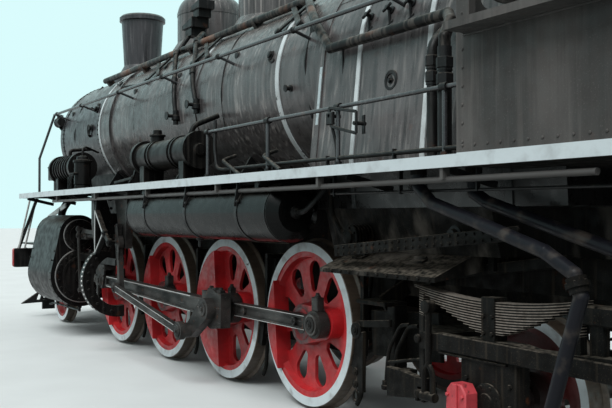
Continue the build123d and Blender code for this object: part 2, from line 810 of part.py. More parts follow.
with BuildPart() as front_coupler:
    with BuildSketch(Plane.YZ.offset(x_at(beam_x - coupler_shank))):
        with Locations((0, z_at(coupler_z))):
            Rectangle(coupler_width - 2 * fit_clearance, coupler_height - 2 * fit_clearance)
    extrude(amount=coupler_shank + coupler_reach - coupler_head + 20)
    with BuildSketch(Plane.XY.offset(z_at(coupler_z - 165))):
        with BuildLine():
            Polyline(
                (x_at(front_reach - coupler_head), -120),
                (x_at(front_reach - 150), -190),
                (x_at(front_reach), -150),
                (x_at(front_reach - 40), -60),
                (x_at(front_reach - 210), -20),
                (x_at(front_reach - 210), 70),
                (x_at(front_reach - 60), 90),
                (x_at(front_reach - 90), 190),
                (x_at(front_reach - coupler_head), 120),
                close=True,
            )
        make_face()
    extrude(amount=330)
front_coupler.part.label = "front_coupler"
export_step(front_coupler.part, "parts/front_coupler.step")

with BuildPart() as front_deck:
    with BuildSketch(Plane.XY.offset(z_at(frame_front_top))):
        deck_rear = cylinder_front + deck_gap
        with Locations((x_at((beam_x + beam_thickness + deck_rear) / 2), 0)):
            Rectangle(beam_x + beam_thickness - deck_rear, 2 * deck_half_width)
    extrude(amount=24)
    for side in (1, -1):
        # sloping plates from the deck up to the running boards
        with BuildSketch(side_plane(side, 1215)):
            with BuildLine():
                Polyline(
                    (x_at(beam_x + 20), z_at(beam_top)),
                    (x_at(beam_x + 62), z_at(beam_top)),
                    (x_at(board_front - 6), z_at(board_top - board_edge)),
                    (x_at(board_front - 48), z_at(board_top - board_edge)),
                    close=True,
                )
            make_face()
        extrude(amount=outward(side, 42))
front_deck.part.label = "front_deck"
export_step(front_deck.part, "parts/front_deck.step")

# Crosshead guides, hung between the rear cylinder covers and the yokes
for side in (1, -1):
    with BuildPart() as guide:
        guide_rear = yoke_x - yoke_thickness / 2
        guide_front = cylinder_rear - cylinder_cover_depth
        with BuildSketch(side_plane(side, cylinder_y - guide_width / 2)):
            with Locations((x_at((guide_rear + guide_front) / 2), z_at(guide_bottom + guide_height / 2))):
                Rectangle(guide_front - guide_rear, guide_height)
        extrude(amount=outward(side, guide_width))
        # the yoke is an arc open towards the wheels, so that the coupling rod can pass
        with BuildSketch(Plane.YZ.offset(x_at(yoke_x - yoke_thickness / 2))):
            with Locations((side * yoke_y, z_at(yoke_z))):
                Circle(yoke_radius)
                Circle(yoke_radius - yoke_band, mode=Mode.SUBTRACT)
            with Locations((side * (yoke_open_y - 500), z_at(yoke_z))):
                Rectangle(1000, 2 * yoke_radius + 20, mode=Mode.SUBTRACT)
        extrude(amount=yoke_thickness)
        # the yoke's head reaches in over the wheels to the frame and up to the running board
        with BuildSketch(Plane.YZ.offset(x_at(yoke_x - yoke_thickness / 2))):
            with BuildLine():
                Polyline(
                    (side * (frame_inner + frame_width), z_at(frame_top + 90)),
                    (side * (yoke_open_y + 10), z_at(frame_top + 90)),
                    (side * (yoke_open_y + 10), z_at(guide_bottom + guide_height - 10)),
                    (side * (yoke_y + 60), z_at(guide_bottom + guide_height - 10)),
                    (side * (yoke_y + 250), z_at(1120)),
                    (side * (yoke_y + 300), z_at(1500)),
                    (side * (yoke_y + 300), z_at(board_top - board_plate)),
                    (side * (yoke_y + 190), z_at(board_top - board_plate)),
                    (side * (yoke_y + 100), z_at(1620)),
                    (side * (frame_inner), z_at(1620)),
                    (side * (frame_inner), z_at(frame_top)),
                    (side * (frame_inner + frame_width), z_at(frame_top)),
                    close=True,
                )
            make_face()
            with Locations((side * valve_y, z_at(valve_z))):
                Circle(valve_rod_radius + fit_clearance, mode=Mode.SUBTRACT)
        extrude(amount=yoke_thickness)
    guide.part.label = f"guide_{side_names[side]}"
    export_step(guide.part, f"parts/guide_{side_names[side]}.step")

# Valve gear: expansion links that swing, their brackets, the eccentric rods and the valve rods
link_inner = eccentric_rod_inner


def link_foot(side):
    # Where the eccentric rod meets the link, from the return crank's end, and the link's turn.
    end_x, end_z = return_crank_ends[side]
    away_x = end_x - x_at(link_x)
    away_z = end_z - z_at(link_z)
    away = sqrt(away_x**2 + away_z**2)
    corner = acos((link_foot_drop**2 + away**2 - eccentric_rod_length**2) / (2 * link_foot_drop * away))
    heading = atan2(away_z, away_x) + corner
    foot_x = x_at(link_x) + link_foot_drop * cos(heading)
    foot_z = z_at(link_z) + link_foot_drop * sin(heading)
    return foot_x, foot_z, degrees(heading) + 90


for side in (1, -1):
    foot_x, foot_z, link_turn = link_foot(side)
    with BuildPart() as link:
        with BuildSketch(side_plane(side, link_inner, x_at(link_x), z_at(link_z), link_turn)):
            with BuildLine():
                Polyline(
                    (-link_width / 2, 210),
                    (link_width / 2, 210),
                    (link_width / 2 + 22, 0),
                    (link_width / 2, -230),
                    (40, -link_foot_drop - 50),
                    (-40, -link_foot_drop - 50),
                    (-link_width / 2, -230),
                    (-link_width / 2 + 22, 0),
                    close=True,
                )
            make_face()
            Circle(78)
        extrude(amount=outward(side, 56))
        with BuildSketch(side_plane(side, link_inner - 60, x_at(link_x), z_at(link_z))):
            Circle(38)
        extrude(amount=outward(side, 56 + 60))
    link.part.label = f"expansion_link_{side_names[side]}"
    export_step(link.part, f"parts/expansion_link_{side_names[side]}.step")

    end_x, end_z = return_crank_ends[side]
    rod_inner = link_inner + 56 + 6
    with BuildPart() as eccentric_rod:
        tilt = degrees(atan2(foot_z - end_z, foot_x - end_x))
        with BuildSketch(side_plane(side, rod_inner, end_x, end_z, tilt)):
            with Locations((eccentric_rod_length / 2, 0)):
                Rectangle(eccentric_rod_length, eccentric_rod_depth)
            Circle(return_crank_boss + 16)
            with Locations((eccentric_rod_length, 0)):
                Circle(58)
        extrude(amount=outward(side, eccentric_rod_width))
        with BuildSketch(side_plane(side, eccentric_rod_inner, end_x, end_z)):
            Circle(return_crank_boss)
        extrude(amount=outward(side, rod_inner - eccentric_rod_inner))
        with BuildSketch(side_plane(side, rod_inner - 5, foot_x, foot_z)):
            Circle(30)
        extrude(amount=outward(side, 5))
    eccentric_rod.part.label = f"eccentric_rod_{side_names[side]}"
    export_step(eccentric_rod.part, f"parts/eccentric_rod_{side_names[side]}.step")

with BuildPart() as valve_rods:
    for side in (1, -1):
        # hanger that carries the link's trunnion, fixed under the running board
        with BuildSketch(side_plane(side, link_inner - 60 - 36, x_at(link_x), z_at(link_z))):
            with BuildLine():
                Polyline(
                    (-70, -70),
                    (70, -70),
                    (330, board_top - board_plate - link_z),
                    (-140, board_top - board_plate - link_z),
                    close=True,
                )
            make_face()
            Circle(38 + fit_clearance, mode=Mode.SUBTRACT)
        extrude(amount=outward(side, 80))
        # valve stem, from the hanger into the rear cover of the valve chest
        with BuildSketch(Plane.YZ.offset(x_at(link_x + 180))):
            with Locations((side * valve_y, z_at(valve_z))):
                Circle(valve_rod_radius)
        extrude(amount=cylinder_rear - cylinder_cover_depth - link_x - 180 - 2)
valve_rods.part.label = "valve_rods"
export_step(valve_rods.part, "parts/valve_rods.step")

# Smokebox, hollow, with its front ring
door_back = x_at(smokebox_front) + 2
hinge_x = door_back + hinge_standoff
hinge_y = -(smokebox_door_radius + 52)
with BuildPart() as smokebox:
    with BuildSketch(Plane.YZ.offset(x_at(smokebox_rear))):
        with Locations((0, z_at(boiler_z))):
            Circle(smokebox_radius)
    extrude(amount=smokebox_front - smokebox_rear)
    with BuildSketch(Plane.YZ.offset(x_at(smokebox_rear + 30))):
        with Locations((0, z_at(boiler_z))):
            Circle(smokebox_radius - smokebox_shell)
    extrude(amount=smokebox_front - smokebox_rear - 60, mode=Mode.SUBTRACT)
    with BuildSketch(Plane.YZ.offset(x_at(smokebox_front - 40))):
        with Locations((0, z_at(boiler_z))):
            Circle(smokebox_door_hole)
    extrude(amount=60, mode=Mode.SUBTRACT)
    with BuildSketch(Plane.XY.offset(z_at(boiler_z))):
        with Locations((x_at(chimney_x), 0)):
            Circle(chimney_bore)
    extrude(amount=smokebox_radius + 50, mode=Mode.SUBTRACT)
    # the door's hinge pin, held by two lugs on the front
    with BuildSketch(Plane.XY.offset(z_at(boiler_z - hinge_half_height))):
        with Locations((hinge_x, hinge_y)):
            Circle(hinge_pin_radius)
    extrude(amount=2 * hinge_half_height)
    for lug_z in (-hinge_half_height, hinge_half_height - lug_height):
        with BuildSketch(Plane.XY.offset(z_at(boiler_z + lug_z))):
            with Locations((hinge_x, hinge_y)):
                Circle(hinge_pin_radius * 2)
            with Locations(((hinge_x + x_at(smokebox_front)) / 2, hinge_y)):
                Rectangle(hinge_x - x_at(smokebox_front), hinge_pin_radius * 4)
        extrude(amount=lug_height)
smokebox.part.label = "smokebox"
export_step(smokebox.part, "parts/smokebox.step")

# Smokebox door, dished, with its hinge straps on the right
with BuildPart() as smokebox_door:
    with BuildSketch(Plane.XY.offset(z_at(boiler_z))):
        with BuildLine():
            Polyline(
                (door_back, 0),
                (door_back, smokebox_door_radius),
                (door_back + 34, smokebox_door_radius),
                (door_back + 60, smokebox_door_radius - 60),
                (door_back + 110, 300),
                (door_back + 128, 130),
                (door_back + 128, 0),
                close=True,
            )
        make_face()
    revolve(axis=Axis((door_back, 0, z_at(boiler_z)), (1, 0, 0)))
    for strap_z in (strap_place, -strap_place):
        with BuildSketch(Plane.XY.offset(z_at(boiler_z + strap_z) - strap_height / 2)):
            with BuildLine():
                Polyline(
                    (hinge_x - 20, hinge_y),
                    (hinge_x - 20, -smokebox_door_radius + 80),
                    (door_back + 60, -120),
                    (door_back + 140, -120),
                    (door_back + 140, -300),
                    (hinge_x + 34, -smokebox_door_radius + 40),
                    (hinge_x + 34, hinge_y),
                    close=True,
                )
            make_face()
            with Locations((hinge_x, hinge_y)):
                Circle(2 * hinge_pin_radius + 2)
                Circle(hinge_pin_radius + running_clearance, mode=Mode.SUBTRACT)
        extrude(amount=strap_height)
smokebox_door.part.label = "smokebox_door"
export_step(smokebox_door.part, "parts/smokebox_door.step")

# Boiler barrel, two tapered courses
with BuildPart() as boiler:
    with BuildSketch(Plane.XZ):
        with BuildLine():
            Polyline(
                (x_at(firebox_front), z_at(boiler_z)),
                (x_at(smokebox_rear), z_at(boiler_z)),
                (x_at(smokebox_rear), z_at(boiler_z) + barrel_front_radius),
                (x_at(barrel_middle), z_at(boiler_z) + barrel_front_radius + 10),
                (x_at(barrel_middle), z_at(boiler_z) + barrel_front_radius + 16),
                (x_at(firebox_front), z_at(boiler_z) + barrel_rear_radius),
                close=True,
            )
        make_face()
    revolve(axis=Axis((0, 0, z_at(boiler_z)), (1, 0, 0)))
boiler.part.label = "boiler"
export_step(boiler.part, "parts/boiler.step")


def firebox_outline(grow):
    # Round top over sides that widen towards their waist.
    radius = firebox_radius + grow
    side_top = boiler_z + 120
    side_y = sqrt(radius**2 - 120**2)
    with BuildSketch() as outline:
        with BuildLine():
            Polyline(
                (side_y, z_at(side_top)),
                (firebox_side_y + grow, z_at(firebox_side_z)),
                (firebox_side_y + grow - 30, z_at(firebox_bottom)),
                (-firebox_side_y - grow + 30, z_at(firebox_bottom)),
                (-firebox_side_y - grow, z_at(firebox_side_z)),
                (-side_y, z_at(side_top)),
            )
            ThreePointArc(
                (-side_y, z_at(side_top)), (0, z_at(boiler_z) + radius), (side_y, z_at(side_top))
            )
        make_face()
    return outline.sketch


# Firebox casing, which runs on into the cab as the backhead
with BuildPart() as firebox:
    with BuildSketch(Plane.YZ.offset(x_at(firebox_rear))):
        add(firebox_outline(0))
    extrude(amount=firebox_front - firebox_rear)
firebox.part.label = "firebox"
export_step(firebox.part, "parts/firebox.step")

# Domes: name, place, body radius and base radius
dome_table = [
    ("sand_dome", sand_dome_x, 400.0, 470.0),
    ("steam_dome", steam_dome_x, 375.0, 450.0),
]
# Bands: place, width and how far they stand proud
band_table = [
    (smokebox_rear - 20, 46, 9),
    (smokebox_rear - 470, 34, 26),
    (-2460, 46, 9),
    (-4230, 60, 9),
]
firebox_band_table = [(-5010, 62, 9), (-5530, 46, 9), (-6350, 46, 9), (-7120, 62, 9)]


def barrel_radius_at(distance):
    if distance > barrel_middle:
        share = (smokebox_rear - distance) / (smokebox_rear - barrel_middle)
        return barrel_front_radius + 10 * share
    share = (barrel_middle - distance) / (barrel_middle - firebox_front)
    return barrel_front_radius + 16 + (barrel_rear_radius - barrel_front_radius - 16) * share


with BuildPart() as bands:
    for place, width, proud in band_table:
        with BuildSketch(Plane.YZ.offset(x_at(place) - width / 2)):
            with Locations((0, z_at(boiler_z))):
                Circle(barrel_radius_at(place) + proud)
                Circle(barrel_radius_at(place - width / 2) + 0.6, mode=Mode.SUBTRACT)
        extrude(amount=width)
    for place, width, proud in firebox_band_table:
        with BuildSketch(Plane.YZ.offset(x_at(place) - width / 2)):
            add(firebox_outline(proud))
        extrude(amount=width)
        with BuildSketch(Plane.YZ.offset(x_at(place) - width / 2)):
            add(firebox_outline(fit_clearance))
        extrude(amount=width, mode=Mode.SUBTRACT)
    # the bands stop at the domes' skirts
    for dome_name, place, body, base in dome_table:
        with BuildSketch(Plane.XY.offset(z_at(boiler_z))):
            with Locations((x_at(place), 0)):
                Circle(base + 2)
        extrude(amount=dome_top - boiler_z, mode=Mode.SUBTRACT)
bands.part.label = "boiler_bands"
export_step(bands.part, "parts/boiler_bands.step")

# Chimney
with BuildPart() as chimney:
    with BuildSketch(Plane.XZ):
        with BuildLine():
            base = z_at(boiler_z + smokebox_radius - 190)
            Polyline(
                (x_at(chimney_x) + chimney_bore, base),
                (x_at(chimney_x) + chimney_base, base),
                (x_at(chimney_x) + chimney_base, base + 130),
                (x_at(chimney_x) + 330, base + 230),
                (x_at(chimney_x) + 262, base + 350),
                (x_at(chimney_x) + 300, z_at(chimney_top) - 92),
                (x_at(chimney_x) + 330, z_at(chimney_top) - 80),
                (x_at(chimney_x) + 330, z_at(chimney_top) - 28),
                (x_at(chimney_x) + 300, z_at(chimney_top)),
                (x_at(chimney_x) + chimney_bore, z_at(chimney_top)),
                close=True,
            )
        make_face()
    revolve(axis=Axis((x_at(chimney_x), 0, 0), (0, 0, 1)))
    with BuildSketch(Plane.YZ.offset(x_at(chimney_x) - 600)):
        with Locations((0, z_at(boiler_z))):
            Circle(smokebox_radius + fit_clearance)
    extrude(amount=1200, mode=Mode.SUBTRACT)
chimney.part.label = "chimney"
export_step(chimney.part, "parts/chimney.step")

for dome_name, place, body, base in dome_table:
    with BuildPart() as dome:
        low = z_at(boiler_z + barrel_front_radius - 220)
        with BuildSketch(Plane.XZ) as dome_half:
            with BuildLine():
                Polyline(
                    (x_at(place), z_at(dome_top)),
                    (x_at(place), low),
                    (x_at(place) + base, low),
                    (x_at(place) + base, low + 190),
                    (x_at(place) + body, low + 300),
                    (x_at(place) + body, z_at(dome_top) - 70),
                    close=True,
                )
            make_face()
            fillet(dome_half.vertices().group_by(Axis.Y)[-2], dome_shoulder)
        revolve(axis=Axis((x_at(place), 0, 0), (0, 0, 1)))
        with BuildSketch(Plane.YZ.offset(x_at(place) - base - 10)):
            with Locations((0, z_at(boiler_z))):
                Circle(barrel_radius_at(place - base) + fit_clearance)
        extrude(amount=2 * base + 20, mode=Mode.SUBTRACT)
    dome.part.label = dome_name
    export_step(dome.part, f"parts/{dome_name}.step")

# Running boards with their edge strips and brackets
bracket_places = [smokebox_front - 250, cylinder_rear - 175, -180, -1700, -3300, -4700]
for side in (1, -1):
    with BuildPart() as board:
        board_middle = x_at((board_front + cab_front_x) / 2)
        with BuildSketch(Plane.XY.offset(z_at(board_top - board_plate))):
            with Locations((board_middle, side * (board_inner + cab_half_width) / 2)):
                Rectangle(board_front - cab_front_x, cab_half_width - board_inner)
        extrude(amount=board_plate)
        with BuildSketch(Plane.XY.offset(z_at(board_top - board_edge))):
            with Locations((board_middle, side * (cab_half_width - board_edge_width / 2))):
                Rectangle(board_front - cab_front_x, board_edge_width)
        extrude(amount=board_edge)
        for place in bracket_places:
            with BuildSketch(Plane.YZ.offset(x_at(place) - 12)):
                with BuildLine():
                    Polyline(
                        (side * (cab_half_width - board_edge_width), z_at(board_top - board_plate)),
                        (side * (cab_half_width - board_edge_width), z_at(board_top - board_edge)),
                        (side * (tank_y - tank_radius), z_at(board_top - board_edge)),
                        (side * 760, z_at(board_top - board_edge - 60)),
                        (side * 330, z_at(board_top + 40)),
                        (side * 620, z_at(board_top + 330)),
                        (side * 830, z_at(board_top)),
                        (side * 830, z_at(board_top - board_plate)),
                        close=True,
                    )
                make_face()
            extrude(amount=24)
        # clear of the smokebox, the barrel and the firebox
        with BuildSketch(Plane.XZ):
            with BuildLine():
                Polyline(
                    (x_at(firebox_front), z_at(boiler_z)),
                    (x_at(smokebox_front), z_at(boiler_z)),
                    (x_at(smokebox_front), z_at(boiler_z) + smokebox_radius + fit_clearance),
                    (x_at(smokebox_rear), z_at(boiler_z) + smokebox_radius + fit_clearance),
                    (x_at(smokebox_rear), z_at(boiler_z) + barrel_front_radius + fit_clearance),
                    (x_at(barrel_middle), z_at(boiler_z) + barrel_front_radius + 10 + fit_clearance),
                    (x_at(barrel_middle), z_at(boiler_z) + barrel_front_radius + 16 + fit_clearance),
                    (x_at(firebox_front), z_at(boiler_z) + barrel_rear_radius + fit_clearance),
                    close=True,
                )
            make_face()
        revolve(axis=Axis((0, 0, z_at(boiler_z)), (1, 0, 0)), mode=Mode.SUBTRACT)
        with BuildSketch(Plane.YZ.offset(x_at(firebox_rear))):
            add(firebox_outline(10))
        extrude(amount=firebox_front - firebox_rear + 10, mode=Mode.SUBTRACT)
    board.part.label = f"running_board_{side_names[side]}"
    export_step(board.part, f"parts/running_board_{side_names[side]}.step")

# Handrails on their posts
rail_posts = [rail_front - 50, smokebox_rear + 300, -500, -1900, -3300, -4700, -6000]
with BuildPart() as handrails:
    for side in (1, -1):
        with BuildSketch(Plane.YZ.offset(x_at(cab_front_x))):
            with Locations((side * rail_y, z_at(rail_z))):
                Circle(rail_radius)
        extrude(amount=rail_front - cab_front_x)
        for place in rail_posts:
            distance = sqrt(rail_y**2 + (rail_z - boiler_z) ** 2)
            lean = atan2(rail_z - boiler_z, rail_y)
            seat = smokebox_radius if place > smokebox_rear else barrel_radius_at(place)
            seat = firebox_radius if place < firebox_front else seat
            foot = Plane(
                origin=(
                    x_at(place),
                    side * (seat + 0.1) * cos(lean),
                    z_at(boiler_z) + (seat + 0.1) * sin(lean),
                ),
                x_dir=(1, 0, 0),
                z_dir=(0, side * cos(lean), sin(lean)),
            )
            with BuildSketch(foot):
                Circle(14)
            extrude(amount=distance - seat)
        # the front post comes down to the running board
        post_x = x_at(board_front - 30)
        post = [
            (x_at(rail_front) - 20, side * rail_y, z_at(rail_z)),
            (post_x, side * reach_rod_y, z_at(board_top + 530)),
            (post_x, side * reach_rod_y, z_at(board_top)),
        ]
        add(tube(post, rail_radius))
        # reach rod along the firebox, on its own posts
        reach_rod = [
            (x_at(reach_rod_front), side * reach_rod_y, z_at(board_top)),
            (x_at(reach_rod_front), side * reach_rod_y, z_at(reach_rod_z)),
            (x_at(cab_front_x), side * reach_rod_y, z_at(reach_rod_z)),
        ]
        add(tube(reach_rod, reach_rod_radius))
        for place in (-4600, -5640, -6800):
            with BuildSketch(Plane.XY.offset(z_at(board_top))):
                with Locations((x_at(place), side * reach_rod_y)):
                    Circle(reach_rod_radius)
            extrude(amount=reach_rod_z - board_top)
handrails.part.label = "handrails"
export_step(handrails.part, "parts/handrails.step")

# Lagged pipes along the boiler's shoulders, and the pipes below the boards
# Blow pipes hang from the boards: distance out, then place and height of each bend
board_underside = board_top - board_plate
blow_pipe_table = [
    (
        1320.0,
        [
            (-6700, board_underside),
            (-6700, 1760),
            (-6825, 1660),
            (-7156, 1566),
            (-7714, 1401),
            (-7905, 1300),
            (-7945, 1192),
            (-7748, 600),
        ],
    ),
    (1150.0, [(-7000, board_underside), (-7000, 1720), (-7110, 1663), (-7656, 1509), (-8060, 1400)]),
]
with BuildPart() as boiler_pipes:
    for side in (1, -1):
        lift = barrel_rear_radius + pipe_radius + 12
        pipe_z = boiler_z + sqrt(lift**2 - pipe_y**2)
        lean = atan2(pipe_z - boiler_z, pipe_y)
        low = firebox_radius + pipe_radius + pipe_low_gap
        pipe_front = smokebox_rear + pipe_front_gap
        lagged = [(x_at(pipe_front), side * pipe_y, z_at(pipe_z))]
        # down around the shoulder to the firebox's side
        for share in (0, 1 / 3, 2 / 3, 1):
            around = lean + (radians(pipe_low_angle) - lean) * share
            out = lift + (low - lift) * share
            place = pipe_drop_front + (pipe_drop_rear - pipe_drop_front) * share
            lagged.append((x_at(place), side * out * cos(around), z_at(boiler_z) + out * sin(around)))
        # on along it, and down before the cab to the running board
        lagged.append((x_at(pipe_elbow_x), lagged[-1][1], lagged[-1][2]))
        for ahead, out, height in ((-90, 1060, 2800), (-130, pipe_down_y, 2680), (-130, pipe_down_y, board_top)):
            lagged.append((x_at(pipe_elbow_x + ahead), side * out, z_at(height)))
        add(tube(lagged, pipe_radius))
        for place in (pipe_front - 130, -300, -1750, -3300, -4080):
            seat = barrel_radius_at(place - 30) + seat_clearance
            foot = Plane(
                origin=(x_at(place), side * seat * cos(lean), z_at(boiler_z) + seat * sin(lean)),
                x_dir=(1, 0, 0),
                z_dir=(0, side * cos(lean), sin(lean)),
            )
            with BuildSketch(foot):
                Rectangle(60, 90)
            extrude(amount=lift - seat)
        # train pipe clamped under the board's edge
        with BuildSketch(Plane.YZ.offset(x_at(train_pipe_rear))):
            with Locations((side * train_pipe_y, z_at(train_pipe_z))):
                Circle(train_pipe_radius)
        extrude(amount=train_pipe_front - train_pipe_rear)
        clamp_height = board_top - board_edge - train_pipe_z
        for place in (560, -1000, -2600, -4200, -5800, -7100):
            with Locations((x_at(place), side * (train_pipe_y + 15), z_at(train_pipe_z + clamp_height / 2))):
                Box(26, 50, clamp_height)
        # two thick pipes below the firebox, down beside the trailing wheel
        for pipe_out, route in blow_pipe_table:
            add(tube([(x_at(place), side * pipe_out, z_at(height)) for place, height in route], blow_pipe_radius))
boiler_pipes.part.label = "boiler_pipes"
export_step(boiler_pipes.part, "parts/boiler_pipes.step")

# Air tank under each running board: front and rear ends
tank_table = [(-1980, -5130)]
with BuildPart() as air_tanks:
    for side in (1, -1):
        for front, rear in tank_table:
            with BuildSketch(Plane.XY.offset(z_at(tank_z))):
                with BuildLine():
                    Polyline(
                        (x_at(rear), side * tank_y),
                        (x_at(front), side * tank_y),
                        (x_at(front), side * tank_y + 150),
                        (x_at(front) - 60, side * tank_y + tank_radius),
                        (x_at(rear) + 60, side * tank_y + tank_radius),
                        (x_at(rear), side * tank_y + 150),
                        close=True,
                    )
                make_face()
            revolve(axis=Axis((0, side * tank_y, z_at(tank_z)), (1, 0, 0)))
            for place in (front - 350, rear + 350):
                with Locations((x_at(place), side * tank_y, z_at(board_top - board_plate - 90))):
                    Box(60, 300, 180)
air_tanks.part.label = "air_tanks"
export_step(air_tanks.part, "parts/air_tanks.step")

# Pumps on the running boards: name, side, front, rear, radius, height above the board
pump_table = [
    ("feed_pump", 1, -1900, -3250, 150, 290),
    ("air_pump", -1, -2000, -3100, 190, 330),
    ("turbo_generator", 1, smokebox_rear + 550, smokebox_rear - 330, 165, 300),
]
for pump_name, side, front, rear, radius, lift in pump_table:
    with BuildPart() as pump:
        with BuildSketch(Plane.YZ.offset(x_at(rear))):
            with Locations((side * pump_y, z_at(board_top + lift))):
                Circle(radius)
        extrude(amount=front - rear)
        for place in (front, rear):
            with BuildSketch(Plane.YZ.offset(x_at(place) - 30)):
                with Locations((side * pump_y, z_at(board_top + lift))):
                    Circle(radius + 28)
            extrude(amount=60)
        for place in (front - 160, rear + 160):
            with Locations((x_at(place), side * pump_y, z_at(board_top + lift / 2))):
                Box(110, radius * 1.5, lift)
    pump.part.label = pump_name
    export_step(pump.part, f"parts/{pump_name}.step")

# Ashpan between and above the frames
with BuildPart() as ashpan:
    with BuildSketch(Plane.YZ.offset(x_at(ashpan_rear))):
        with BuildLine():
            Polyline(
                (-firebox_side_y + 40, z_at(firebox_bottom)),
                (firebox_side_y - 40, z_at(firebox_bottom)),
                (firebox_side_y - 120, z_at(frame_top)),
                (frame_inner, z_at(frame_top)),
                (frame_inner, z_at(frame_top) - 60),
                (360, z_at(960)),
                (-360, z_at(960)),
                (-frame_inner, z_at(frame_top) - 60),
                (-frame_inner, z_at(frame_top)),
                (-firebox_side_y + 120, z_at(frame_top)),
                close=True,
            )
        make_face()
    extrude(amount=ashpan_front - ashpan_rear)
    # sloped ash plates along both sides
    for side in (1, -1):
        with BuildSketch(Plane.YZ.offset(x_at(ash_plate_rear))):
            with BuildLine():
                Polyline(
                    (side * (frame_inner + frame_width), z_at(frame_top)),
                    (side * (frame_inner + frame_width), z_at(frame_top - 70)),
                    (side * ash_plate_out, z_at(ash_plate_low)),
                    (side * ash_plate_out, z_at(ash_plate_low + ash_plate_lip)),
                    (side * 880, z_at(frame_top)),
                    close=True,
                )
            make_face()
        extrude(amount=ash_plate_front - ash_plate_rear)
ashpan.part.label = "ashpan"
export_step(ashpan.part, "parts/ashpan.step")

# Cab: floor, front, sides, rear and roof
with BuildPart() as cab_floor:
    with BuildSketch(Plane.XY.offset(z_at(board_top - board_edge))):
        with Locations((x_at((firebox_rear + cab_rear_x) / 2), 0)):
            Rectangle(firebox_rear - cab_rear_x, 2 * (cab_half_width - cab_wall))
        # beside the firebox
        floor_inner = firebox_side_y + 10
        floor_outer = cab_half_width - cab_wall
        for side in (1, -1):
            with Locations((x_at((firebox_rear + cab_front_x) / 2), side * (floor_inner + floor_outer) / 2)):
                Rectangle(cab_front_x - firebox_rear, floor_outer - floor_inner)
    extrude(amount=board_edge)
    # bearers down to the frame
    bearer_height = board_top - board_edge - frame_rear_top
    bearer_x = x_at((firebox_rear + frame_rear) / 2)
    for side in (1, -1):
        bearer_y = side * (frame_inner + frame_width / 2)
        with Locations((bearer_x, bearer_y, z_at(frame_rear_top + bearer_height / 2))):
            Box(firebox_rear - frame_rear, frame_width, bearer_height)
cab_floor.part.label = "cab_floor"
export_step(cab_floor.part, "parts/cab_floor.step")


def cab_end_outline(bottom, half_width):
    with BuildSketch() as outline:
        with BuildLine():
            Polyline(
                (-half_width, z_at(cab_eaves)),
                (-half_width, z_at(bottom)),
                (half_width, z_at(bottom)),
                (half_width, z_at(cab_eaves)),
            )
            ThreePointArc(
                (half_width, z_at(cab_eaves)), (0, z_at(cab_roof_top - 2)), (-half_width, z_at(cab_eaves))
            )
        make_face()
    return outline.sketch


with BuildPart() as cab_front:
    with BuildSketch(Plane.YZ.offset(x_at(cab_front_x) - cab_wall)):
        add(cab_end_outline(board_top, cab_half_width - cab_wall))
    extrude(amount=cab_wall)
    with BuildSketch(Plane.YZ.offset(x_at(cab_front_x) - cab_wall)):
        add(firebox_outline(2))
        for side in (1, -1):
            with Locations((side * 1200, z_at(2980))):
                RectangleRounded(300, 520, 60)
    extrude(amount=cab_wall, mode=Mode.SUBTRACT)
cab_front.part.label = "cab_front"
export_step(cab_front.part, "parts/cab_front.step")

with BuildPart() as cab_rear:
    with BuildSketch(Plane.YZ.offset(x_at(cab_rear_x))):
        add(cab_end_outline(board_top, cab_half_width - cab_wall))
        # gangway open in the middle, with a window each side
        with Locations((0, z_at(board_top + 1000))):
            Rectangle(1100, 2040, mode=Mode.SUBTRACT)
        for side in (1, -1):
            with Locations((side * 1010, z_at(3000))):
                RectangleRounded(520, 560, 60, mode=Mode.SUBTRACT)
    extrude(amount=cab_wall)
cab_rear.part.label = "cab_rear"
export_step(cab_rear.part, "parts/cab_rear.step")

for side in (1, -1):
    with BuildPart() as cab_side:
        side_bottom = board_top - board_edge
        with BuildSketch(side_plane(side, cab_half_width - cab_wall)):
            with Locations((x_at((cab_front_x + cab_rear_x) / 2), z_at((side_bottom + cab_eaves) / 2))):
                Rectangle(cab_front_x - cab_rear_x, cab_eaves - side_bottom)
            with Locations((x_at(cab_front_x - 110 - 720), z_at((cab_sill + cab_window_top) / 2))):
                RectangleRounded(1440, cab_window_top - cab_sill, 50, mode=Mode.SUBTRACT)
        extrude(amount=outward(side, cab_wall))
        with BuildSketch(side_plane(side, cab_half_width)):
            with Locations((x_at(cab_front_x - 110 - 720), z_at(cab_sill - 22))):
                Rectangle(1500, 44)
        extrude(amount=outward(side, cab_shelf))
        # steps below the rear corner
        with BuildSketch(side_plane(side, cab_half_width - cab_wall)):
            with Locations((x_at(step_x), z_at((board_top - board_edge + step_bottom) / 2))):
                Rectangle(step_length, board_top - board_edge - step_bottom)
        extrude(amount=outward(side, step_plate))
        for step_z in (step_bottom, step_bottom + 405, step_bottom + 825):
            with BuildSketch(side_plane(side, cab_half_width - cab_wall - step_depth)):
                with Locations((x_at(step_x), z_at(step_z + step_plate / 2))):
                    Rectangle(step_length, step_plate)
            extrude(amount=outward(side, step_depth))
    cab_side.part.label = f"cab_side_{side_names[side]}"
    export_step(cab_side.part, f"parts/cab_side_{side_names[side]}.step")

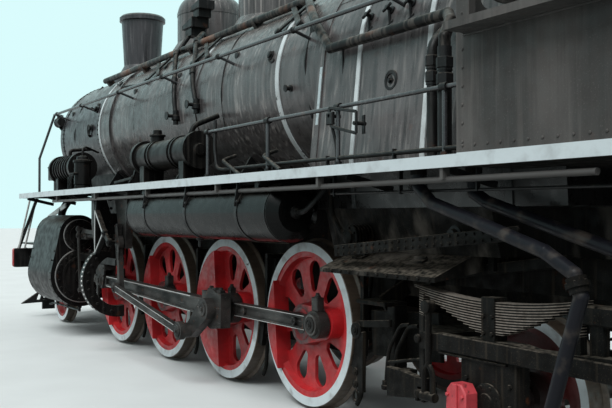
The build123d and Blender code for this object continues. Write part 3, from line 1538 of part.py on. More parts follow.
with BuildPart() as cab_roof:
    with BuildSketch(Plane.YZ.offset(x_at(cab_rear_x) - cab_roof_overhang)):
        with BuildLine():
            Line((-cab_half_width - 90, z_at(cab_eaves)), (-cab_half_width - 90, z_at(cab_eaves + 30)))
            ThreePointArc(
                (-cab_half_width - 90, z_at(cab_eaves + 30)),
                (0, z_at(cab_roof_top + 40)),
                (cab_half_width + 90, z_at(cab_eaves + 30)),
            )
            Line((cab_half_width + 90, z_at(cab_eaves + 30)), (cab_half_width + 90, z_at(cab_eaves)))
            Line((cab_half_width + 90, z_at(cab_eaves)), (cab_half_width - cab_wall, z_at(cab_eaves)))
            ThreePointArc(
                (cab_half_width - cab_wall, z_at(cab_eaves)),
                (0, z_at(cab_roof_top)),
                (-cab_half_width + cab_wall, z_at(cab_eaves)),
            )
            Line((-cab_half_width + cab_wall, z_at(cab_eaves)), (-cab_half_width - 90, z_at(cab_eaves)))
        make_face()
    extrude(amount=cab_front_x - cab_rear_x + cab_roof_overhang + 60)
cab_roof.part.label = "cab_roof"
export_step(cab_roof.part, "parts/cab_roof.step")

with BuildPart() as cab_seats:
    for side in (1, -1):
        with Locations((x_at(-8350), side * 1130, z_at(board_top + 310))):
            Box(460, 420, 620)
        with Locations((x_at(-8560), side * 1130, z_at(board_top + 860))):
            Box(60, 400, 480)
cab_seats.part.label = "cab_seats"
export_step(cab_seats.part, "parts/cab_seats.step")

# Rear drawbar box at the end of the frame
with BuildPart() as drawbar_box:
    with BuildSketch(Plane.XY.offset(z_at(drawbar_z - 150))):
        with Locations((x_at((-rear_reach - 9250) / 2), 0)):
            Rectangle(rear_reach - 9250, 560)
        with Locations((x_at(-rear_reach + 130), 0)):
            Circle(drawbar_pin_radius, mode=Mode.SUBTRACT)
    extrude(amount=100)
    with BuildSketch(Plane.XY.offset(z_at(drawbar_z - 50))):
        with Locations((x_at(-9390), 0)):
            Rectangle(280, 560)
    extrude(amount=frame_rear_bottom - drawbar_z + 50)
drawbar_box.part.label = "drawbar_box"
export_step(drawbar_box.part, "parts/drawbar_box.step")

# Brake gear: hangers and shoes behind each coupled wheel, joined across by beams
with BuildPart() as brake_gear:
    for axle_x in coupled_axles:
        inner = coupled_radius + shoe_gap
        for side in (1, -1):
            with BuildSketch(side_plane(side, half_back_to_back + 46, axle_x, coupled_axle_z)):
                with BuildLine():
                    low = CenterArc((0, 0), inner, shoe_angle - 14, 28)
                    high = CenterArc((0, 0), inner + shoe_depth, shoe_angle - 14, 28)
                    Line(low @ 0, high @ 0)
                    Line(low @ 1, high @ 1)
                make_face()
            extrude(amount=outward(side, 80))
            shoe_x = axle_x + (inner + shoe_depth - 8) * cos(radians(shoe_angle))
            with BuildSketch(side_plane(side, half_back_to_back + 60)):
                with BuildLine():
                    Polyline(
                        (shoe_x - 26, coupled_axle_z - 170),
                        (shoe_x + 14, coupled_axle_z - 170),
                        (axle_x - coupled_pitch / 2 + 22, z_at(brake_hanger_top)),
                        (axle_x - coupled_pitch / 2 - 22, z_at(brake_hanger_top)),
                        close=True,
                    )
                make_face()
            extrude(amount=outward(side, 44))
            with BuildSketch(side_plane(side, frame_inner + frame_width)):
                with Locations((axle_x - coupled_pitch / 2, z_at(brake_hanger_top - 22))):
                    Circle(26)
            extrude(amount=outward(side, half_back_to_back + 104 - frame_inner - frame_width))
        brake_beam_x = axle_x + (inner + shoe_depth - 14) * cos(radians(shoe_angle))
        brake_beam_end = half_back_to_back + 104
        with BuildSketch(side_plane(1, -brake_beam_end, brake_beam_x, coupled_axle_z - brake_beam_drop)):
            Rectangle(36, 60)
        extrude(amount=outward(1, 2 * brake_beam_end))
brake_gear.part.label = "brake_gear"
export_step(brake_gear.part, "parts/brake_gear.step")

# Steam fittings on the firebox: turret block and two safety valves
with BuildPart() as steam_fittings:
    seat_z = z_at(boiler_z + firebox_radius) + seat_clearance
    with Locations((x_at(-6760), 0, seat_z + 130 - 8)):
        Box(420, 360, 260)
    with BuildSketch(Plane.XY.offset(seat_z - 40)):
        for valve_x in (-5750, -6050):
            with Locations((x_at(valve_x), 0)):
                Circle(95)
    extrude(amount=360)
    with BuildSketch(Plane.YZ.offset(x_at(-7100))):
        with Locations((0, z_at(boiler_z))):
            Circle(firebox_radius + fit_clearance)
    extrude(amount=1700, mode=Mode.SUBTRACT)
steam_fittings.part.label = "steam_fittings"
export_step(steam_fittings.part, "parts/steam_fittings.step")

# Leading truck: an arm from the pivot to a yoke over the axle, with inside boxes
with BuildPart() as leading_truck:
    with BuildSketch(Plane.XY.offset(z_at(leading_arm_bottom))):
        with BuildLine():
            Polyline(
                (x_at(leading_pivot_x - 90), -100),
                (x_at(leading_axle_x - 150), -500),
                (x_at(leading_axle_x + 190), -500),
                (x_at(leading_axle_x + 190), 500),
                (x_at(leading_axle_x - 150), 500),
                (x_at(leading_pivot_x - 90), 100),
                close=True,
            )
        make_face()
        with Locations((x_at(leading_axle_x - 420), 0)):
            Rectangle(260, 420, mode=Mode.SUBTRACT)
        with Locations((x_at(leading_pivot_x), 0)):
            Circle(truck_pin_radius + running_clearance, mode=Mode.SUBTRACT)
    extrude(amount=leading_arm_thickness)
    for side in (1, -1):
        with BuildSketch(side_plane(side, 380, x_at(leading_axle_x), z_at(leading_radius))):
            with Locations((0, 10)):
                Rectangle(250, 300)
            Circle(truck_axle_radius + running_clearance, mode=Mode.SUBTRACT)
        extrude(amount=outward(side, 110))
leading_truck.part.label = "leading_truck"
export_step(leading_truck.part, "parts/leading_truck.step")

# Trailing truck: outside side bars, springs and a tapering arm to the pivot
with BuildPart() as trailing_truck:
    axle = trailing_axle_x
    bar_front = axle + trailing_bar_front
    bar_rear = axle - trailing_bar_rear
    for side in (1, -1):
        with BuildSketch(side_plane(side, truck_bar_inner)):
            with BuildLine():
                Polyline(
                    (x_at(bar_front), z_at(740)),
                    (x_at(bar_front), z_at(845)),
                    (x_at(axle + 270), z_at(845)),
                    (x_at(axle + 170), z_at(860)),
                    (x_at(axle - 230), z_at(860)),
                    (x_at(axle - 330), z_at(845)),
                    (x_at(bar_rear), z_at(880)),
                    (x_at(bar_rear), z_at(790)),
                    (x_at(axle - pedestal_half), z_at(740)),
                    (x_at(axle - pedestal_half), z_at(pedestal_bottom)),
                    (x_at(axle + pedestal_half), z_at(pedestal_bottom)),
                    (x_at(axle + pedestal_half), z_at(740)),
                    close=True,
                )
            make_face()
            with Locations((x_at(axle), z_at(trailing_radius))):
                Circle(truck_axle_radius + running_clearance, mode=Mode.SUBTRACT)
        extrude(amount=outward(side, truck_bar_width))
        # leaf spring, its leaves shorter towards the bottom
        for leaf in range(spring_leaves):
            half = spring_half - leaf * leaf_step
            rise = spring_rise * (half / spring_half) ** 2
            top = z_at(spring_top) - leaf * leaf_pitch
            with BuildSketch(side_plane(side, truck_bar_inner + 8, x_at(axle), top)):
                with BuildLine():
                    high = ThreePointArc((-half, rise), (0, 0), (half, rise))
                    low = ThreePointArc((-half, rise - leaf_pitch - 1), (0, -leaf_pitch - 1), (half, rise - leaf_pitch - 1))
                    Line(high @ 0, low @ 0)
                    Line(high @ 1, low @ 1)
                make_face()
            extrude(amount=outward(side, 84))
        with BuildSketch(side_plane(side, truck_bar_inner)):
            with Locations((x_at(axle), z_at((860 + spring_top + 25) / 2))):
                Rectangle(110, spring_top + 25 - 860)
        extrude(amount=outward(side, truck_bar_width))
        # hangers at the spring's ends: a long one with a clevis in front, a short one on the bar behind
        hanger_top = spring_top + spring_rise - leaf_pitch / 2
        for place, bottom in ((axle + spring_half - 50, 520), (axle - spring_half + 50, 850)):
            with BuildSketch(side_plane(side, truck_bar_inner + 25)):
                with Locations((x_at(place), z_at((hanger_top + bottom) / 2))):
                    Rectangle(44, hanger_top - bottom)
            extrude(amount=outward(side, 50))
        with BuildSketch(side_plane(side, truck_bar_inner + 5)):
            with Locations((x_at(axle + spring_half - 50), z_at(470))):
                Rectangle(84, 150)
            with Locations((x_at(axle + spring_half - 50), z_at(440))):
                Rectangle(40, 100, mode=Mode.SUBTRACT)
        extrude(amount=outward(side, truck_bar_width - 10))
    # cross plates and the arm, below the ashpan
    with BuildSketch(Plane.XY.offset(z_at(trailing_arm_bottom))):
        with BuildLine():
            Polyline(
                (x_at(trailing_pivot_x + 100), -110),
                (x_at(trailing_pivot_x + 100), 110),
                (x_at(bar_front), truck_bar_inner),
                (x_at(bar_front - 120), truck_bar_inner),
                (x_at(bar_front - 120), -truck_bar_inner),
                (x_at(bar_front), -truck_bar_inner),
                close=True,
            )
        make_face()
        with Locations(((x_at(bar_front) + x_at(trailing_pivot_x) - 330) / 2, 0)):
            Rectangle(280, 560, mode=Mode.SUBTRACT)
        with Locations((x_at(bar_rear + 100), 0)):
            Rectangle(140, 2 * truck_bar_inner)
        with Locations((x_at(trailing_pivot_x), 0)):
            Circle(truck_pin_radius + running_clearance, mode=Mode.SUBTRACT)
    extrude(amount=trailing_arm_thickness)
trailing_truck.part.label = "trailing_truck"
export_step(trailing_truck.part, "parts/trailing_truck.step")

# Truck wheelsets: name, axle, radius, hub, rim, axle's extra reach outside the wheels
wheelset_table = [
    ("leading_wheels", leading_axle_x, leading_radius, 120.0, 36.0, 0.0),
    ("trailing_wheels", trailing_axle_x, trailing_radius, 130.0, 38.0, truck_bar_inner + truck_bar_width - 8),
]
for set_name, place, radius, hub, rim, journal_end in wheelset_table:
    centres = wheel_pair(
        x_at(place), radius, truck_tyre_depth, truck_axle_radius, hub, rim, tyre_face - 4
    )
    with BuildPart() as wheelset:
        add(centres)
        if journal_end:
            with BuildSketch(side_plane(1, -journal_end, x_at(place), z_at(radius))):
                Circle(truck_axle_radius)
            extrude(amount=outward(1, 2 * journal_end))
        with BuildSketch(side_plane(1, -tyre_face - 20, x_at(place), z_at(radius))):
            with PolarLocations((hub + radius - truck_tyre_depth - rim) / 2, 8):
                Circle(34)
        extrude(amount=outward(1, 2 * tyre_face + 40), mode=Mode.SUBTRACT)
    wheelset.part.label = set_name
    export_step(wheelset.part, f"parts/{set_name}.step")
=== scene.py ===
from math import acos, atan2, cos, pi, radians, sin, sqrt

import bmesh
import bpy
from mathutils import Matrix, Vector


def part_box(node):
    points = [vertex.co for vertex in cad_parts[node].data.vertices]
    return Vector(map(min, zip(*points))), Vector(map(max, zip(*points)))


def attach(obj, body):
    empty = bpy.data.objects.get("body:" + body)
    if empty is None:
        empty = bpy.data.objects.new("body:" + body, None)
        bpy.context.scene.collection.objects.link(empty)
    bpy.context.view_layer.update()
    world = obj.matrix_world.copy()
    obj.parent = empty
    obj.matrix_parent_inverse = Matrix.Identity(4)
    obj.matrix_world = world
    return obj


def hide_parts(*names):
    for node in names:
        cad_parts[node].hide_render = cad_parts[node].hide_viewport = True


# Steam locomotive, 2-8-2, in metres. X runs forward, Y to the left, Z up.
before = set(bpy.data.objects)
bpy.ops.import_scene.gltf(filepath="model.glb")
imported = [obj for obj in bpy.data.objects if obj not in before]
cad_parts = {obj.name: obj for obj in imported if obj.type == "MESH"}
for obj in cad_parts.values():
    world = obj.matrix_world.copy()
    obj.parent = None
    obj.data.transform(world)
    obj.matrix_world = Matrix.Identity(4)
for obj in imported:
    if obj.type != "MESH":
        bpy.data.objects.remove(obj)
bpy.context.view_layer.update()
print("frame loaded,", len(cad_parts), "nodes")

railZ = 0.028  # the flanges reach this far below the rail's top
boardTop = 1.92  # running board
axleX = sum(corner.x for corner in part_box("driver_1")) / 2  # leading coupled axle
sides = {1: "left", -1: "right"}


def at(along, across, height):
    # along counts from the leading coupled axle and height from the rail
    return Vector((axleX + along, across, railZ + height))


def paint(red, green, blue):
    # a colour as it looks on a screen, from 0 to 255
    linear = [((part / 255 + 0.055) / 1.055) ** 2.4 for part in (red, green, blue)]
    return (*linear, 1.0)


# Shader maths
class Value:
    # one output socket that can stand in an expression
    def __init__(self, finish, socket):
        self.finish = finish
        self.socket = socket

    def maths(self, operation, other, swapped=False):
        pair = {0: other, 1: self} if swapped else {0: self, 1: other}
        return self.finish.node("ShaderNodeMath", {"operation": operation}, pair)

    def __add__(self, other):
        return self.maths("ADD", other)

    def __sub__(self, other):
        return self.maths("SUBTRACT", other)

    def __rsub__(self, other):
        return self.maths("SUBTRACT", other, swapped=True)

    def __mul__(self, other):
        return self.maths("MULTIPLY", other)

    def __pow__(self, other):
        return self.maths("POWER", other)

    def __abs__(self):
        return self.maths("ABSOLUTE", 0.0)

    __radd__ = __add__
    __rmul__ = __mul__


class Network:
    # a node tree and the one way to add to it
    def __init__(self, owner):
        owner.use_nodes = True
        self.tree = owner.node_tree
        self.tree.nodes.clear()

    def node(self, kind, settings=None, inputs=None, out=0):
        made = self.tree.nodes.new(kind)
        for name, value in (settings or {}).items():
            setattr(made, name, value)
        for name, value in (inputs or {}).items():
            self.feed(made.inputs[name], value)
        return made if out is None else Value(self, made.outputs[out])

    def feed(self, socket, value):
        if isinstance(value, Value):
            self.tree.links.new(value.socket, socket)
        else:
            socket.default_value = value

    def seenDirectly(self):
        # rays from the camera, from gloss and through glass
        rays = [
            self.node("ShaderNodeLightPath", out=f"Is {kind} Ray")
            for kind in ("Camera", "Glossy", "Transmission")
        ]
        return rays[0] + rays[1] + rays[2]


class Finish(Network):
    # a material, built around one Principled shader
    def __init__(self, name):
        self.material = bpy.data.materials.new(name)
        super().__init__(self.material)
        self.shader = self.node("ShaderNodeBsdfPrincipled", out=None)
        self.node(
            "ShaderNodeOutputMaterial", inputs={
                "Surface": Value(self, self.shader.outputs["BSDF"])
            }, out=None,
        )
        self.place = self.node("ShaderNodeTexCoord", out="Object")
        split = {0: self.place}
        self.x = self.node("ShaderNodeSeparateXYZ", inputs=split, out="X")
        self.y = self.node("ShaderNodeSeparateXYZ", inputs=split, out="Y")
        self.z = self.node("ShaderNodeSeparateXYZ", inputs=split, out="Z")
        facing = self.node("ShaderNodeNewGeometry", out="Normal")
        self.up = self.node("ShaderNodeSeparateXYZ", inputs={0: facing}, out="Z")

    def noise(self, scale, detail=4.0, stretch=(1, 1, 1), shift=0.0):
        spot = self.node("ShaderNodeVectorMath", {"operation": "MULTIPLY"}, {0: self.place, 1: stretch})
        if shift:
            spot = self.node("ShaderNodeVectorMath", {"operation": "ADD"}, {0: spot, 1: (shift,) * 3})
        return self.node("ShaderNodeTexNoise", {}, {"Vector": spot, "Scale": scale, "Detail": detail})

    def between(self, value, low, high):
        # 0 below low and 1 above high, or the other way round
        span = {"Value": value, "From Min": low, "From Max": high}
        return self.node("ShaderNodeMapRange", {"interpolation_type": "SMOOTHSTEP"}, span)

    def patch(self, low, high, scale, detail=4.0, **spread):
        # noise cut off below low and above high
        return self.between(self.noise(scale, detail, **spread), low, high)

    def blend(self, factor, first, second):
        return self.node("ShaderNodeMix", {"data_type": "RGBA"}, {0: factor, 6: first, 7: second}, out=2)

    def bump(self, height, distance):
        made = {"Height": height, "Distance": distance, "Strength": 1.0}
        self.feed(self.shader.inputs["Normal"], self.node("ShaderNodeBump", {}, made))

    def set(self, **sockets):
        for name, value in sockets.items():
            self.feed(self.shader.inputs[name.replace("_", " ")], value)


# Weathered surfaces: colours, then how much of each kind of wear
lookColumns = (
    "base", "dark", "pale", "mottle", "streaks", "grit", "settled", "rust", "rough", "sheen", "bump",
)
looks = {
    "boilerPaint": (
        (92, 90, 90), (34, 33, 34), (176, 174, 170), 0.5, 0.6, 0.2, 0.4, 0.2, (0.22, 0.42), 0.36, 0.0008,
    ),
    "smokeboxPaint": (
        (66, 66, 69), (28, 28, 30), (136, 136, 138), 0.5, 0.5, 0.25, 0.4, 0.2, (0.26, 0.46), 0.28, 0.001,
    ),
    "cabPaint": (
        (90, 88, 86), (52, 52, 51), (126, 124, 120), 0.7, 0.35, 0.25, 0.6, 0.12, (0.42, 0.68), 0.22, 0.0012,
    ),
    "blackPaint": (
        (27, 27, 28), (12, 12, 12), (92, 90, 86), 0.8, 0.25, 0.3, 0.4, 0.25, (0.3, 0.6), 0.2, 0.001,
    ),
    "tankPaint": (
        (11, 11, 11), (5, 5, 5), (52, 50, 48), 0.5, 0.15, 0.1, 0.15, 0.1, (0.24, 0.34), 0.12, 0.0005,
    ),
    "railPaint": (
        (66, 68, 71), (30, 30, 32), (156, 158, 158), 0.7, 0.2, 0.3, 0.3, 0.2, (0.18, 0.4), 0.5, 0.0006,
    ),
    "grime": ((24, 23, 22), (9, 9, 8), (84, 76, 66), 0.8, 0.3, 0.45, 0.5, 0.5, (0.45, 0.8), 0.08, 0.0016),
    "casting": ((24, 23, 23), (9, 9, 9), (86, 84, 80), 0.7, 0.25, 0.25, 0.3, 0.2, (0.28, 0.48), 0.11, 0.0009),
}
looks = {name: dict(zip(lookColumns, values)) for name, values in looks.items()}
dust = paint(138, 131, 119)
rustBrown = paint(104, 62, 40)
paleBlue = paint(214, 230, 234)
wheelRed = paint(216, 46, 52)


def wear(finish, look, colour):
    # streaks run down, dust settles on what faces up, rust breaks through in spots
    broad = finish.noise(0.9, 3)
    fine = finish.noise(34, 6)
    runs = finish.noise(30, 5, stretch=(1, 1, 0.04))
    runs = finish.between(runs, 0.5, 0.72) * finish.between(broad, 0.3, 0.62)
    colour = finish.blend(runs * look["streaks"], colour, look["pale"])
    soot = finish.patch(0.46, 0.66, 24, 6, stretch=(1, 1, 0.04), shift=6.2)
    colour = finish.blend(soot * look["streaks"], colour, look["dark"])
    grit = finish.patch(0.58, 0.76, 130, 3)
    colour = finish.blend(grit * look["grit"], colour, look["pale"])
    settled = finish.between(finish.up, 0.35, 0.95) * finish.between(fine, 0.3, 0.7)
    colour = finish.blend(settled * look["settled"], colour, dust)
    spots = finish.patch(0.66, 0.74, 7, 8, shift=3.1)
    return finish.blend(spots * look["rust"], colour, rustBrown)


def weathered(name, lookName, mark=None):
    look = dict(looks[lookName])
    look.update({shade: paint(*look[shade]) for shade in ("base", "dark", "pale")})
    finish = Finish(name)
    patches = finish.patch(0.32, 0.68, 2.6, 6, stretch=(1, 1, 0.4))
    colour = finish.blend(patches * look["mottle"], look["base"], look["dark"])
    colour = wear(finish, look, colour)
    if mark:
        colour = mark(finish, colour)
    low, high = look["rough"]
    gloss = finish.patch(0.3, 0.7, 11, 6, shift=1.7)
    finish.set(Base_Color=colour, Roughness=gloss * (high - low) + low, Specular_IOR_Level=look["sheen"])
    dents = finish.noise(3.2, 2) * 4 + finish.noise(60, 5) * 0.5
    finish.bump(dents, look["bump"])
    return finish.material


def painted(finish, base, chips=0.66):
    # brushed paint with chips and grime
    stain = finish.patch(0.46, 0.76, 7, 6, shift=5.3)
    shade = finish.blend(stain * 0.35, base, paint(120, 120, 116))
    chip = finish.patch(chips, chips + 0.05, 23, 8, shift=2.2)
    return finish.blend(chip, shade, paint(36, 34, 33))


# Coupled and truck wheels: red centres, pale tyre faces and a worn tread, by distance from the axle
# the third number widens and darkens the truck wheels' sooty patches: painted shade
wheelSizes = {
    "driver": {"radius": 0.685, "bore": 0.605, "paintedShade": 0.0},
    "leading": {"radius": 0.42, "bore": 0.355, "paintedShade": 0.8},
    "trailing": {"radius": 0.5, "bore": 0.435, "paintedShade": 1.0},
}
tyreFace = 0.8165
tyreBack = 0.6765


def wheelFinish(name, axle, size):
    finish, paintedShade = Finish(name), size["paintedShade"]
    far = ((finish.x - axle.x) ** 2 + (finish.z - axle.z) ** 2) ** 0.5
    out = abs(finish.y)
    red = finish.patch(0.3, 0.75, 5, 6, shift=axle.x)
    colour = finish.blend(red, paint(176, 38, 43), wheelRed)
    # sooty patches; on the truck wheels they are wider and darker, as painted shade
    soot = finish.patch(0.44 - paintedShade * 0.3, 0.7 - paintedShade * 0.3, 3.4, 7, shift=2.4)
    colour = finish.blend(soot * (0.35 + paintedShade * 0.55), colour, paint(48, 30, 28))
    oil = finish.between(far + finish.noise(14, 4) * 0.12, 0.31, 0.19)
    colour = finish.blend(oil * 0.9, colour, paint(24, 21, 20))
    specks = finish.patch(0.6, 0.74, 90, 3)
    colour = finish.blend(specks * 0.4, colour, paint(96, 72, 64))
    # pale tyre face, chipped and streaked with grease
    face = finish.between(far, size["bore"] - 0.004, size["bore"] + 0.001)
    rim = painted(finish, paint(224, 240, 244), 0.7)
    rim = finish.blend(finish.patch(0.54, 0.74, 6, 6, shift=7.7) * 0.5, rim, paint(88, 86, 80))
    colour = finish.blend(face * finish.between(out, tyreFace - 0.006, tyreFace - 0.001), colour, rim)
    # brown tread and flange, and greasy backs
    brown = finish.blend(finish.noise(45, 6, stretch=(1, 0.15, 1)), paint(58, 50, 44), paint(112, 98, 84))
    tread = finish.between(far, size["radius"] - 0.008, size["radius"] - 0.004)
    colour = finish.blend(tread, colour, brown)
    back = finish.between(out, tyreBack + 0.016, tyreBack + 0.008)
    grease = finish.blend(finish.noise(12, 6), paint(18, 17, 16), paint(62, 52, 44))
    colour = finish.blend(back * (1 - tread), colour, grease)
    # crank pins and their collars are bare steel
    bare = finish.between(out, 0.868, 0.872)
    colour = finish.blend(
        bare, colour, finish.blend(finish.noise(30, 6), paint(40, 37, 35), paint(112, 109, 106)),
    )
    rough = finish.patch(0.3, 0.7, 20, 5, shift=4) * 0.3 + 0.32
    finish.set(Base_Color=colour, Roughness=rough, Metallic=bare * 0.5)
    finish.bump(finish.noise(4, 2) * 2 + finish.noise(70, 4) * 0.5, 0.0009)
    return finish.material


def hubFinish(name):
    # oily red rings around the axle ends
    finish = Finish(name)
    colour = finish.blend(finish.noise(12, 6), paint(96, 24, 28), paint(176, 44, 48))
    oil = finish.patch(0.42, 0.6, 8, 6, shift=3)
    colour = finish.blend(oil * 0.8, colour, paint(24, 20, 19))
    finish.set(Base_Color=colour, Roughness=0.66 - oil * 0.3)
    finish.bump(finish.noise(60, 5), 0.0008)
    return finish.material


def plainFinish(name, dark, light, rough, metal=0.0, stretch=(1, 1, 1)):
    # small fittings: two shades, fine dirt and a worn gloss
    finish = Finish(name)
    colour = finish.blend(finish.noise(18, 7, stretch=stretch), dark, light)
    dirt = finish.patch(0.56, 0.72, 30, 6, shift=4)
    colour = finish.blend(dirt * 0.7, colour, paint(40, 36, 32))
    finish.set(Base_Color=colour, Roughness=finish.noise(40, 4) * 0.3 + rough - 0.15, Metallic=metal)
    finish.bump(finish.noise(70, 5, stretch=stretch), 0.0008)
    return finish.material


def leatherFinish(name):
    # brown leather: fine cells, creases and a rubbed crown
    finish = Finish(name)
    cells = finish.node(
        "ShaderNodeTexVoronoi", {"feature": "DISTANCE_TO_EDGE"}, {"Vector": finish.place, "Scale": 260.0},
    )
    creases = finish.patch(0.44, 0.58, 14, 6, stretch=(1, 0.3, 1))
    colour = finish.blend(creases, paint(46, 28, 20), paint(92, 58, 40))
    rubbed = finish.patch(0.5, 0.7, 7, 5, shift=2)
    colour = finish.blend(rubbed * 0.6, colour, paint(134, 98, 72))
    finish.set(Base_Color=colour, Roughness=0.62 - rubbed * 0.2)
    finish.bump(finish.between(cells, 0.0, 0.12) + creases * 0.6, 0.0006)
    return finish.material


# Rods and motion: oily dark steel with worn lighter patches; at full highlight the same finish turns nearly
# white, for strips of painted highlight
def steelFinish(name, shine=0.5, highlight=0.0):
    finish = Finish(name)
    patches = finish.patch(0.36 - highlight * 0.3, 0.68 - highlight * 0.2, 6, 7, stretch=(0.5, 1, 1))
    colour = finish.blend(
        patches, paint(23, 21, 20), paint(74 + highlight * 132, 72 + highlight * 134, 70 + highlight * 134),
    )
    oil = finish.patch(0.48, 0.66, 2.2, 5, shift=8)
    colour = finish.blend(oil * (0.6 - highlight * 0.4), colour, paint(26, 22, 19))
    rust = finish.patch(0.6, 0.72, 17, 8, shift=6)
    colour = finish.blend(rust * 0.45, colour, rustBrown)
    scratches = finish.patch(0.62, 0.74, 160, 3, stretch=(0.06, 1, 1))
    colour = finish.blend(scratches * 0.35, colour, paint(160, 160, 160))
    finish.set(
        Base_Color=colour, Metallic=patches * shine, Roughness=0.62 - patches * 0.24, Specular_IOR_Level=0.25,
    )
    finish.bump(finish.noise(5, 2) * 2 + finish.noise(80, 5) * 0.6, 0.001)
    return finish.material


def redUnderside(finish, colour):
    # a worn red line under the air tanks
    low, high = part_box("air_tanks")
    line = finish.between(finish.z + finish.noise(30, 5) * 0.03, low.z + 0.045, low.z + 0.03)
    return finish.blend(line * 0.6, colour, paint(140, 38, 40))


def paleEdge(finish, colour):
    # the strip along the outer edge of the running board and of the cab's foot
    low, high = (railZ + level for level in (1.846, 1.925))
    strip = finish.between(abs(finish.y), edgeFace - 0.006, edgeFace - 0.003)
    strip = strip * finish.between(finish.z, low, low + 0.001) * finish.between(finish.z, high, high - 0.001)
    return finish.blend(strip, colour, painted(finish, paleBlue, 0.7))


def redEnds(finish, colour):
    # the front beam is red in front and at its ends, black behind
    low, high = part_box("front_beam")
    ends = finish.between(abs(finish.y), high.y - 0.012, high.y - 0.004)
    front = finish.between(finish.x, low.x + 0.03, low.x + 0.04)
    return finish.blend(front + ends, colour, painted(finish, paint(168, 40, 42)))


def leafLightAndShade(finish, colour):
    # painted highlights on the edges of the trailing truck's spring leaves, and painted shade on the leaves
    # between them
    spring = {"axle": -7.06, "top": 1.085, "half": 0.69, "rise": 0.06, "pitch": 0.0155, "leaves": 12}
    run = finish.x - (axleX + spring["axle"])
    below = railZ + spring["top"] - (finish.z - run * run * (spring["rise"] / spring["half"] ** 2))
    share = finish.node("ShaderNodeMath", {"operation": "FRACT"}, {0: below * (1 / spring["pitch"])})
    edge = finish.between(abs(share - 0.5), 0.26, 0.34)
    inSpring = finish.between(below, -0.002, 0.0) * finish.between(
        below, spring["leaves"] * spring["pitch"], spring["leaves"] * spring["pitch"] - 0.002,
    )
    inSpring = inSpring * finish.between(
        abs(run), spring["half"] + 0.01, spring["half"],
    ) * finish.between(abs(run), 0.054, 0.058)
    colour = finish.blend(inSpring * (1 - edge), colour, paint(16, 15, 14))
    return finish.blend(
        inSpring * edge, colour, finish.blend(finish.noise(40, 6), paint(70, 62, 54), paint(176, 170, 160)),
    )


def ashStains(finish, colour):
    # pale ash has run down the sheets
    stain = finish.patch(0.5, 0.68, 3.1, 7, stretch=(1, 1, 0.5), shift=9)
    return finish.blend(stain * 0.55, colour, paint(150, 146, 138))


def shadeBelowBoard(finish, colour):
    # painted shade: whatever lies below the running board, in its shadow, is darkened almost to black
    low = finish.between(finish.z + finish.noise(4, 5) * 0.1, railZ + 2.02, railZ + 1.9)
    return finish.blend(low * 0.9, colour, paint(19, 19, 19))


def bandPaint(finish, colour):
    # painted bands: three hoops are black, and one of them keeps a short pale stretch
    pale = painted(finish, paint(208, 220, 222))
    black = finish.between(abs(finish.x - (axleX + 0.23)), 0.06, 0.05)
    black = black + finish.between(abs(finish.x - (axleX - 5.01)), 0.06, 0.05)
    worn = finish.between(abs(finish.x - (axleX - 2.46)), 0.06, 0.05)
    worn = worn * finish.between(abs(finish.z - (railZ + 3.4)), 0.1, 0.13)
    return shadeBelowBoard(finish, finish.blend(black + worn, pale, colour))


def rustAndPaintedGloss(finish, colour):
    # lagging on the high pipe has rusted through at the joints; low down the thick pipes are black with
    # lighter blotches that are painted reflections for gloss, and the thin pipe is lighter grey
    rust = finish.patch(0.5, 0.62, 2.4, 7, shift=12)
    lagged = finish.blend(rust * 0.75, colour, paint(122, 84, 64))
    wraps = finish.patch(0.45, 0.6, 26, 3, stretch=(1, 0.2, 0.2))
    lagged = finish.blend(wraps * 0.3, lagged, paint(120, 116, 110))
    low = finish.between(finish.z, railZ + 2.0, railZ + 1.96)
    black = finish.blend(finish.patch(0.5, 0.75, 9, 7, shift=2), paint(26, 27, 32), paint(70, 66, 62))
    thin = finish.between(abs(finish.y), 1.41, 1.42)
    return finish.blend(low, lagged, finish.blend(thin * 0.7, black, paint(104, 104, 102)))


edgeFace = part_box("running_board_left")[1].y
finishes = {
    "boilerPaint": weathered("boilerPaint", "boilerPaint", shadeBelowBoard),
    "smokeboxPaint": weathered("smokeboxPaint", "smokeboxPaint", shadeBelowBoard),
    "cabPaint": weathered("cabPaint", "cabPaint"),
    "blackPaint": weathered("blackPaint", "blackPaint"),
    "grime": weathered("grime", "grime"),
    "casting": weathered("casting", "casting"),
    "railPaint": weathered("railPaint", "railPaint"),
    "rodSteel": steelFinish("rodSteel"),
    "paintedHighlight": steelFinish("paintedHighlight", highlight=1.0),
    "hubRed": hubFinish("hubRed"),
    "paleStrip": plainFinish("paleStrip", paint(150, 168, 172), paint(206, 224, 228), 0.45),
    "boxRed": plainFinish("boxRed", paint(150, 44, 50), paint(222, 84, 92), 0.5),
    "brass": plainFinish("brass", paint(92, 74, 38), paint(176, 146, 82), 0.35, metal=0.9),
    "dialWhite": plainFinish("dialWhite", paint(200, 198, 188), paint(226, 224, 214), 0.3),
    "lampGlass": plainFinish("lampGlass", paint(150, 160, 166), paint(210, 220, 224), 0.12),
    "seatWood": plainFinish("seatWood", paint(58, 38, 24), paint(104, 74, 48), 0.5, stretch=(1, 1, 0.08)),
    "seatLeather": leatherFinish("seatLeather"),
    "boardPaint": weathered("boardPaint", "blackPaint", paleEdge),
    "cabSidePaint": weathered("cabSidePaint", "cabPaint", paleEdge),
    "tankPaint": weathered("tankPaint", "tankPaint", redUnderside),
    "beamPaint": weathered("beamPaint", "blackPaint", redEnds),
    "bandPaint": weathered("bandPaint", "boilerPaint", bandPaint),
    "ashpanPaint": weathered("ashpanPaint", "grime", ashStains),
    "pipeLagging": weathered("pipeLagging", "casting", rustAndPaintedGloss),
    "truckPaint": weathered("truckPaint", "grime", leafLightAndShade),
}
